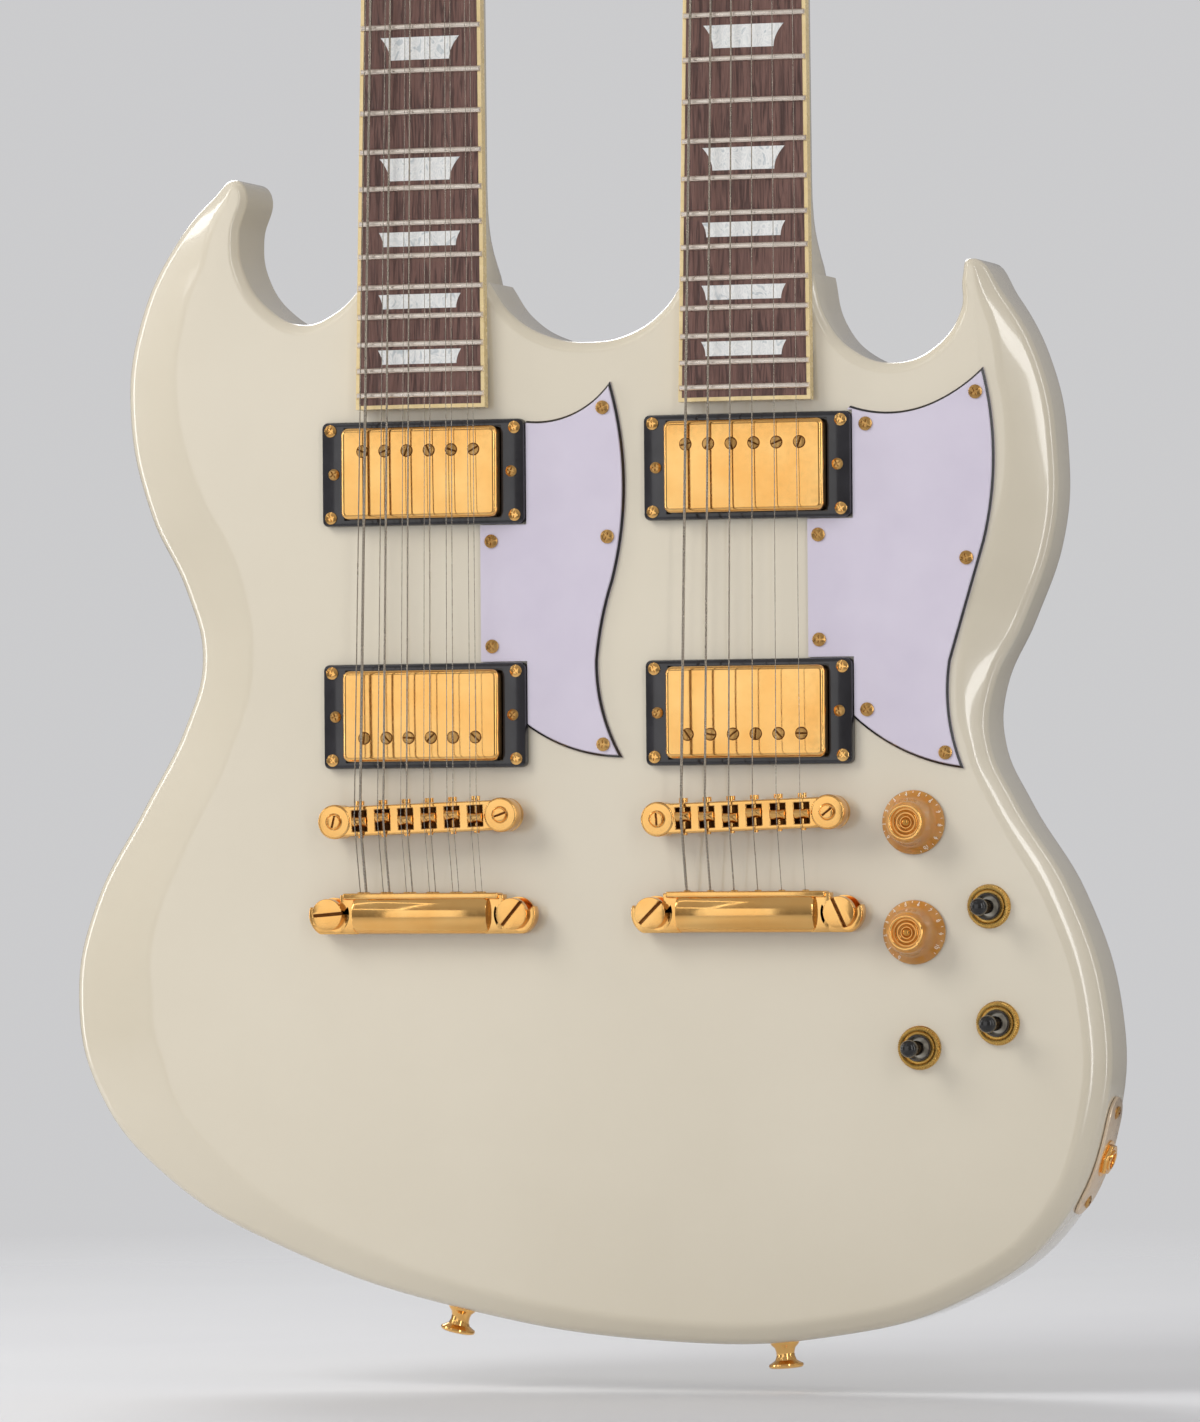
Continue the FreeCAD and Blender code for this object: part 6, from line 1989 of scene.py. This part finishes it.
KNOB_PARTS: tuple[Turning, ...] = (
    # Clear bell with its sloped skirt, open above and below.
    Turning("bell", AMBER, 72, 40, (
        (12.9, 0.6), (13.4, 0.7), (13.4, 1.5), (13.1, 2.1), (10.9, 4.0), (10.2, 5.2), (9.6, 7.5),
        (9.0, 10.5), (8.7, 12.9), (8.3, 14.3), (7.7, 15.0), (7.0, 15.1), (7.0, 14.6), (7.6, 13.8),
        (8.0, 12.4), (8.4, 10.2), (9.0, 7.2), (9.6, 5.0), (10.4, 3.6), (12.5, 1.8), (12.7, 0.6),
        (12.9, 0.6))),
    # Painted inside with its stepped top.
    Turning("core", KNOB_CORE, 64, 40, (
        (0, 0.7), (12.3, 0.7), (12.1, 1.6), (10.1, 3.3), (9.2, 4.9), (8.6, 7.1), (8.0, 10.1), (7.6, 12.2),
        (7.0, 13.3), (0, 13.5))),
    # Stepped disc on the top.
    Turning("cap", KNOB_CAP, 56, 50, (
        (0, 12.6), (6.7, 12.6), (6.7, 13.6), (5.6, 13.2), (5.4, 13.1), (5.1, 13.5), (4.6, 13.7),
        (4.2, 13.4), (3.9, 13.0), (3.6, 13.4), (3.1, 13.8), (2.7, 13.6), (2.4, 13.2), (2.0, 13.6),
        (1.4, 14.5), (0.7, 14.9), (0, 15.0))),
    # Polished ring round the top.
    Turning("ring", GOLD, 56, 40, (
        (6.0, 13.2), (7.4, 13.2), (7.4, 14.9), (7.1, 15.25), (6.7, 15.3), (6.3, 15.1), (6.0, 14.6),
        (6.0, 13.2))),
)


@dataclass
class Controls:
    """Knobs, lever switches and the output jack."""

    knob_x: float = 141.8
    knob_lines: tuple[tuple[str, float, float], ...] = (("volume", -6.6, 120.0), ("tone", -52.3, 150.0))
    switches: tuple[tuple[str, float, float], ...] = (
        ("high", 173.8, -41.7), ("low", 177.2, -90.1), ("inner", 143.5, -100.3),
    )
    jack: Triple = (216.25, -146.03, 19.1)
    knurls: int = 120
    number_step: float = 27.0
    skirt_slope: float = -41.0

    def numerals(self, turn: float) -> Form:
        """Plain numbers and ticks round a knob's skirt.

        Args:
            turn: where the first number stands, in degrees.

        Returns:
            The numbers, flat on the core's skirt.
        """
        form = Form()
        for number in range(11):
            angle = turn - self.number_step * number
            text = bpy.data.curves.new("number", "FONT")
            text.body = str(number)
            text.size = 2.3
            text.align_x = text.align_y = "CENTER"
            text.extrude = 0.05
            mesh = curve_mesh(text)
            figure = Form()
            figure.bm.from_mesh(mesh)
            bpy.data.meshes.remove(mesh)
            way = turn_by(angle, "Z") @ shift_by(0, 11.75, 3.32)
            form.joined(figure.placed(way @ turn_by(self.skirt_slope, "X")))
            for share in (0.5, 1.0):
                way = turn_by(angle - self.number_step * (share - 0.5), "Z") @ shift_by(0, 12.6, 2.5)
                form.joined(Form.block(0.22, 0.9, 0.12).placed(way @ turn_by(self.skirt_slope, "X")))
        return form

    def knobs(self) -> None:
        """Build both knobs on their shafts."""
        for name, line, turn in self.knob_lines:
            body = name + "_control"
            place = front_place(self.knob_x, line)
            for part in KNOB_PARTS:
                form = Form.turned(part.profile, part.steps).placed(place)
                stands_for = [name + "_knob"] if part.name == "bell" else ()
                dress(name + "_" + part.name, form, part.finish, body, stands_for, part.smooth)
            dress(name + "_numerals", self.numerals(turn).placed(place), NUMERALS, body)
            washer = Form.turned([(0, -0.2), (7.6, -0.2), (7.6, 0.3), (0, 0.35)], 40)
            dress(name + "_washer", washer.placed(place), GOLD)

    def knurled(self) -> Form:
        """Round nut with a knurled rim and an open throat.

        Returns:
            The nut.
        """
        form = Form.turned([(5.3, -3.0), (5.3, 2.6), (5.6, 2.9), (6.4, 3.0), (6.8, 2.7), (7.1, 3.0),
                            (7.8, 3.2), (8.4, 3.0), (8.8, 2.5), (8.8, 0.6), (9.2, 0.3), (9.2, -0.1),
                            (9.2, -0.5), (5.3, -3.0)], self.knurls)
        for vert in form.bm.verts:
            radius = vert.co.xy.length
            if radius > 8.1 and vert.co.z > 0.4:
                number = round(math.atan2(vert.co.y, vert.co.x) * self.knurls / math.tau)
                vert.co.xy *= (radius + (0.2 if number % 2 else -0.14)) / radius
        return form

    def levers(self) -> None:
        """Build the three lever switches."""
        for name, x, z in self.switches:
            place = front_place(x, z)
            body = "lever_" + name
            dress("switch_nut_" + name, self.knurled().placed(place), NUT_GOLD,
                  replaces=["switches"] if name == "high" else (), smooth=30)
            throat = Form.turned([(0, -1.6), (4.3, -1.6), (5.35, -1.0), (5.45, 3.3), (5.7, 3.6), (5.5, 4.0),
                                  (4.9, 3.9), (4.5, 2.8), (4.1, -0.4), (0, -1.0)], 44)
            dress("switch_throat_" + name, throat.placed(place), THROAT, smooth=40)
            stem = Form.turned([(0, -4.8), (1.4, -4.8), (1.7, 1.0), (3.0, 3.6), (3.1, 6.2), (2.7, 8.6),
                                (2.5, 11.6), (2.6, 14.0), (3.1, 14.5), (3.1, 15.2), (0, 15.2)], 32)
            dress("lever_stem_" + name, stem.placed(place), DARK_CHROME, body, smooth=40)
            tip = Form.turned([(0, 14.9), (3.1, 14.9), (3.5, 15.5), (3.7, 16.6), (3.6, 17.9), (3.1, 19.1),
                               (2.2, 19.8), (1.1, 20.1), (0, 20.15)], 36)
            dress("lever_tip_" + name, tip.placed(place), LEVER, body,
                  ["switch_lever_" + name], smooth=50)

    def socket(self) -> None:
        """Build the bent jack plate, its screws and the jack."""
        x, z, turn = self.jack
        side = (shift_by(x, MIDDLE, z) @ turn_by(turn, "Y")
                @ turn_by(90, "Y"))
        points = []
        for centre, start in ((-1, 180), (1, 0)):
            for step in range(17):
                angle = math.radians(start + 180 * step / 16)
                points.append((10 * math.cos(angle), centre * 16 + 10 * math.sin(angle)))
        plate = Form.sheet(points, 1.6).cut(1, [step * 2.05 for step in range(-12, 13)]).sharp(0.45, 2, 60)
        wall = [side.inverted() @ Vector((place.x, MIDDLE, place.y)) for place in BodyShell().line()]
        wall = sorted((-place.x, place.z) for place in wall if abs(place.x) < 45 and abs(place.z) < 20)

        def lie(along: float) -> float:
            """Height of the wall at a place along the plate.

            Args:
                along: the place.

            Returns:
                The height.
            """
            for (start, low), (end, high) in zip(wall, wall[1:]):
                if start <= along <= end:
                    return low + (high - low) * (along - start) / (end - start)
            return wall[0][1]

        turned = turn_by(90, "Z")
        plate.moved(lambda co: Vector((co.x, co.y, co.z + lie(co.y) + 0.15)))
        dress("jack_plate_bent", plate.placed(side @ turned), PALE_PLATE, replaces=["jack_plate"], smooth=30)
        nut = Form.pin(7.0, 2.2, 1.9, 6).sharp(0.5, 3)
        washer = Form.turned([(3.4, 1.5), (7.9, 1.5), (7.9, 2.1), (3.4, 2.2), (3.4, 1.5)], 40)
        sleeve = Form.turned([(3.25, -9.0), (4.5, -9.0), (4.5, 4.6), (4.2, 5.0), (3.6, 5.0), (3.25, 4.7),
                              (3.25, -9.0)], 36)
        ring = Form.turned([(3.3, 1.8), (6.0, 1.8), (6.0, 4.3), (3.3, 4.3), (3.3, 1.8)], 36)
        dress("jack_sleeve", sleeve.joined(nut, washer, ring).placed(side), GOLD, replaces=["output_jack"],
              smooth=35)
        screws = Form()
        for end in ENDS:
            spot = shift_by(0, end * 19.5, lie(end * 19.5) + 1.65)
            screws.joined(Form.crossed(2.8, 1.1).placed(side @ turned @ spot))
        dress("jack_plate_screws", screws, DULL_GOLD)

    def build(self) -> None:
        """Build everything that the player turns, tips or plugs in."""
        self.knobs()
        self.levers()
        self.socket()
        LOG.info("controls")


KEPT_NODES: dict[str, Finish] = {
    "pickup_coils": COIL, "volume_shaft": CONTROL, "tone_shaft": CONTROL, "potentiometers": CASE,
}


def dress_kept_nodes() -> None:
    """Give the frame's own nodes their finishes."""
    for node, finish in KEPT_NODES.items():
        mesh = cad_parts[node].data
        mesh.materials.clear()
        mesh.materials.append(finish.material())
    LOG.info("kept nodes: %d", len(KEPT_NODES))


@dataclass
class Studio:
    """Pale floor and background, soft lamps and the camera."""

    camera_place: Triple = (1.03693, -3.32174, -0.01783)
    yaw: float = 0.3044
    pitch: float = 0.0172
    roll: float = -0.0075
    lens: float = 207.09
    floor_level: float = -0.2455

    def floor(self) -> None:
        """Build the round floor, which fades into the background round the guitar."""
        mesh = Form.disc(2600, 96).at(z=self.floor_level / MM).mesh("floor", outward=False)
        floor = add_object("floor", mesh)
        paint = Paint("floor_paper")
        paint.set(Roughness=0.9)
        paint.colour(paint.ramp(paint.noise(3, 2), [(0.3, (0.60, 0.60, 0.61)), (0.7, (0.63, 0.63, 0.635))]))
        distance = paint.node("VectorMath")
        distance.operation = "LENGTH"
        paint.link(paint.coordinates, distance.inputs[0])
        mix = paint.node("MixShader")
        paint.link(paint.span(distance.outputs["Value"], 0.45, 1.5), mix.inputs["Fac"])
        paint.link(paint.shader.outputs["BSDF"], mix.inputs[1])
        paint.link(paint.node("BsdfTransparent").outputs["BSDF"], mix.inputs[2])
        paint.link(mix.outputs["Shader"], paint.output.inputs["Surface"])
        mesh.materials.append(paint.material)

    def lamp(self, name: str, place: Triple, size: Pair,
             power: float) -> bpy.types.Object:
        """Add one soft lamp that looks at the body.

        Args:
            name: name of the lamp.
            place: where it stands, in metres.
            size: width and height, in metres.
            power: power in watts.

        Returns:
            The lamp.
        """
        data = bpy.data.lights.new(name, "AREA")
        data.shape = "RECTANGLE"
        data.size, data.size_y = size
        data.energy = power
        lamp = add_object(name, data)
        lamp.location = place
        aim = Vector((0, 0, 0.05)) - Vector(place)
        lamp.rotation_euler = aim.to_track_quat("-Z", "Y").to_euler()
        return lamp

    def world(self) -> None:
        """Set the pale background, an even light for matt surfaces and a sky over a ground for gloss."""
        world = bpy.data.worlds.new("studio")
        world.use_nodes = True
        tree = world.node_tree
        tree.nodes.clear()
        link = tree.links.new
        matt, gloss, shown = (
            add_node(tree, "Background", Color=(*colour, 1), Strength=strength)
            for colour, strength in (((0.97, 0.97, 1.0), 0.48), ((0.86, 0.84, 0.84), 0.3),
                                     ((0.60, 0.60, 0.61), 1.0)))
        split = add_node(tree, "SeparateXYZ")
        link(add_node(tree, "TexCoord").outputs["Generated"], split.inputs["Vector"])
        height = add_node(tree, "MapRange", From_Min=-0.5, From_Max=0.6, To_Min=0.10, To_Max=0.52)
        link(split.outputs["Z"], height.inputs["Value"])
        link(height.outputs["Result"], gloss.inputs["Strength"])
        path = add_node(tree, "LightPath")
        either = add_node(tree, "Math")
        either.operation = "MAXIMUM"
        link(path.outputs["Is Glossy Ray"], either.inputs[0])
        link(path.outputs["Is Transmission Ray"], either.inputs[1])
        surface = matt.outputs["Background"]
        for factor, light in ((either.outputs[0], gloss), (path.outputs["Is Camera Ray"], shown)):
            mix = add_node(tree, "MixShader")
            link(factor, mix.inputs["Fac"])
            link(surface, mix.inputs[1])
            link(light.outputs["Background"], mix.inputs[2])
            surface = mix.outputs["Shader"]
        link(surface, add_node(tree, "OutputWorld").inputs["Surface"])
        bpy.context.scene.world = world

    def camera(self) -> None:
        """Set the camera at the photograph's view."""
        cos_yaw, sin_yaw = math.cos(self.yaw), math.sin(self.yaw)
        turn = Matrix(((cos_yaw, -sin_yaw, 0), (sin_yaw, cos_yaw, 0), (0, 0, 1)))
        forward = turn @ Vector((0, math.cos(self.pitch), math.sin(self.pitch)))
        right = turn @ Vector((1, 0, 0))
        upward = right.cross(forward)
        across = right * math.cos(self.roll) + upward * math.sin(self.roll)
        above = upward * math.cos(self.roll) - right * math.sin(self.roll)
        data = bpy.data.cameras.new("view")
        data.sensor_fit = "VERTICAL"
        data.sensor_height = 36.0
        data.lens = self.lens
        data.clip_end = 50
        camera = add_object("view", data)
        basis = Matrix((across, above, -forward)).transposed().to_4x4()
        camera.matrix_world = Matrix.Translation(self.camera_place) @ basis
        bpy.context.scene.camera = camera

    def build(self) -> None:
        """Build the studio."""
        self.floor()
        self.world()
        key = self.lamp("key", (-1.7, -1.9, 1.7), (1.3, 1.5), 50)
        key.visible_glossy = False
        sheen = self.lamp("sheen", (-1.7, -1.9, 1.7), (1.6, 1.8), 12)
        sheen.visible_diffuse = False
        self.lamp("front_card", (-0.8, -2.5, 0.05), (1.4, 1.4), 5)
        self.lamp("fill", (1.9, -2.6, 0.6), (0.35, 3.0), 16)
        self.lamp("rim", (1.9, -0.35, 0.3), (0.2, 2.6), 7)
        self.lamp("left_rim", (-1.6, -0.5, 0.2), (0.2, 1.8), 6)
        self.lamp("back", (-1.7, 2.3, 2.1), (1.8, 1.8), 60)
        self.camera()
        bpy.context.scene.view_settings.view_transform = "Standard"
        LOG.info("studio")


def main() -> None:
    """Build every sub-assembly in order, then the studio."""
    logging.basicConfig(level=logging.INFO, format="%(name)s: %(message)s")
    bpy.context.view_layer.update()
    BodyShell().build()
    BackHardware().build()
    for side in Side:
        Neck(side).build()
        Fretboard(side).build()
        Bridge(side).build()
        Tailpiece(side).build()
        Strings(side).build()
    Headware().build()
    Guards().build()
    Pickups().build()
    Controls().build()
    dress_kept_nodes()
    Studio().build()


if __name__ == "__main__":
    main()
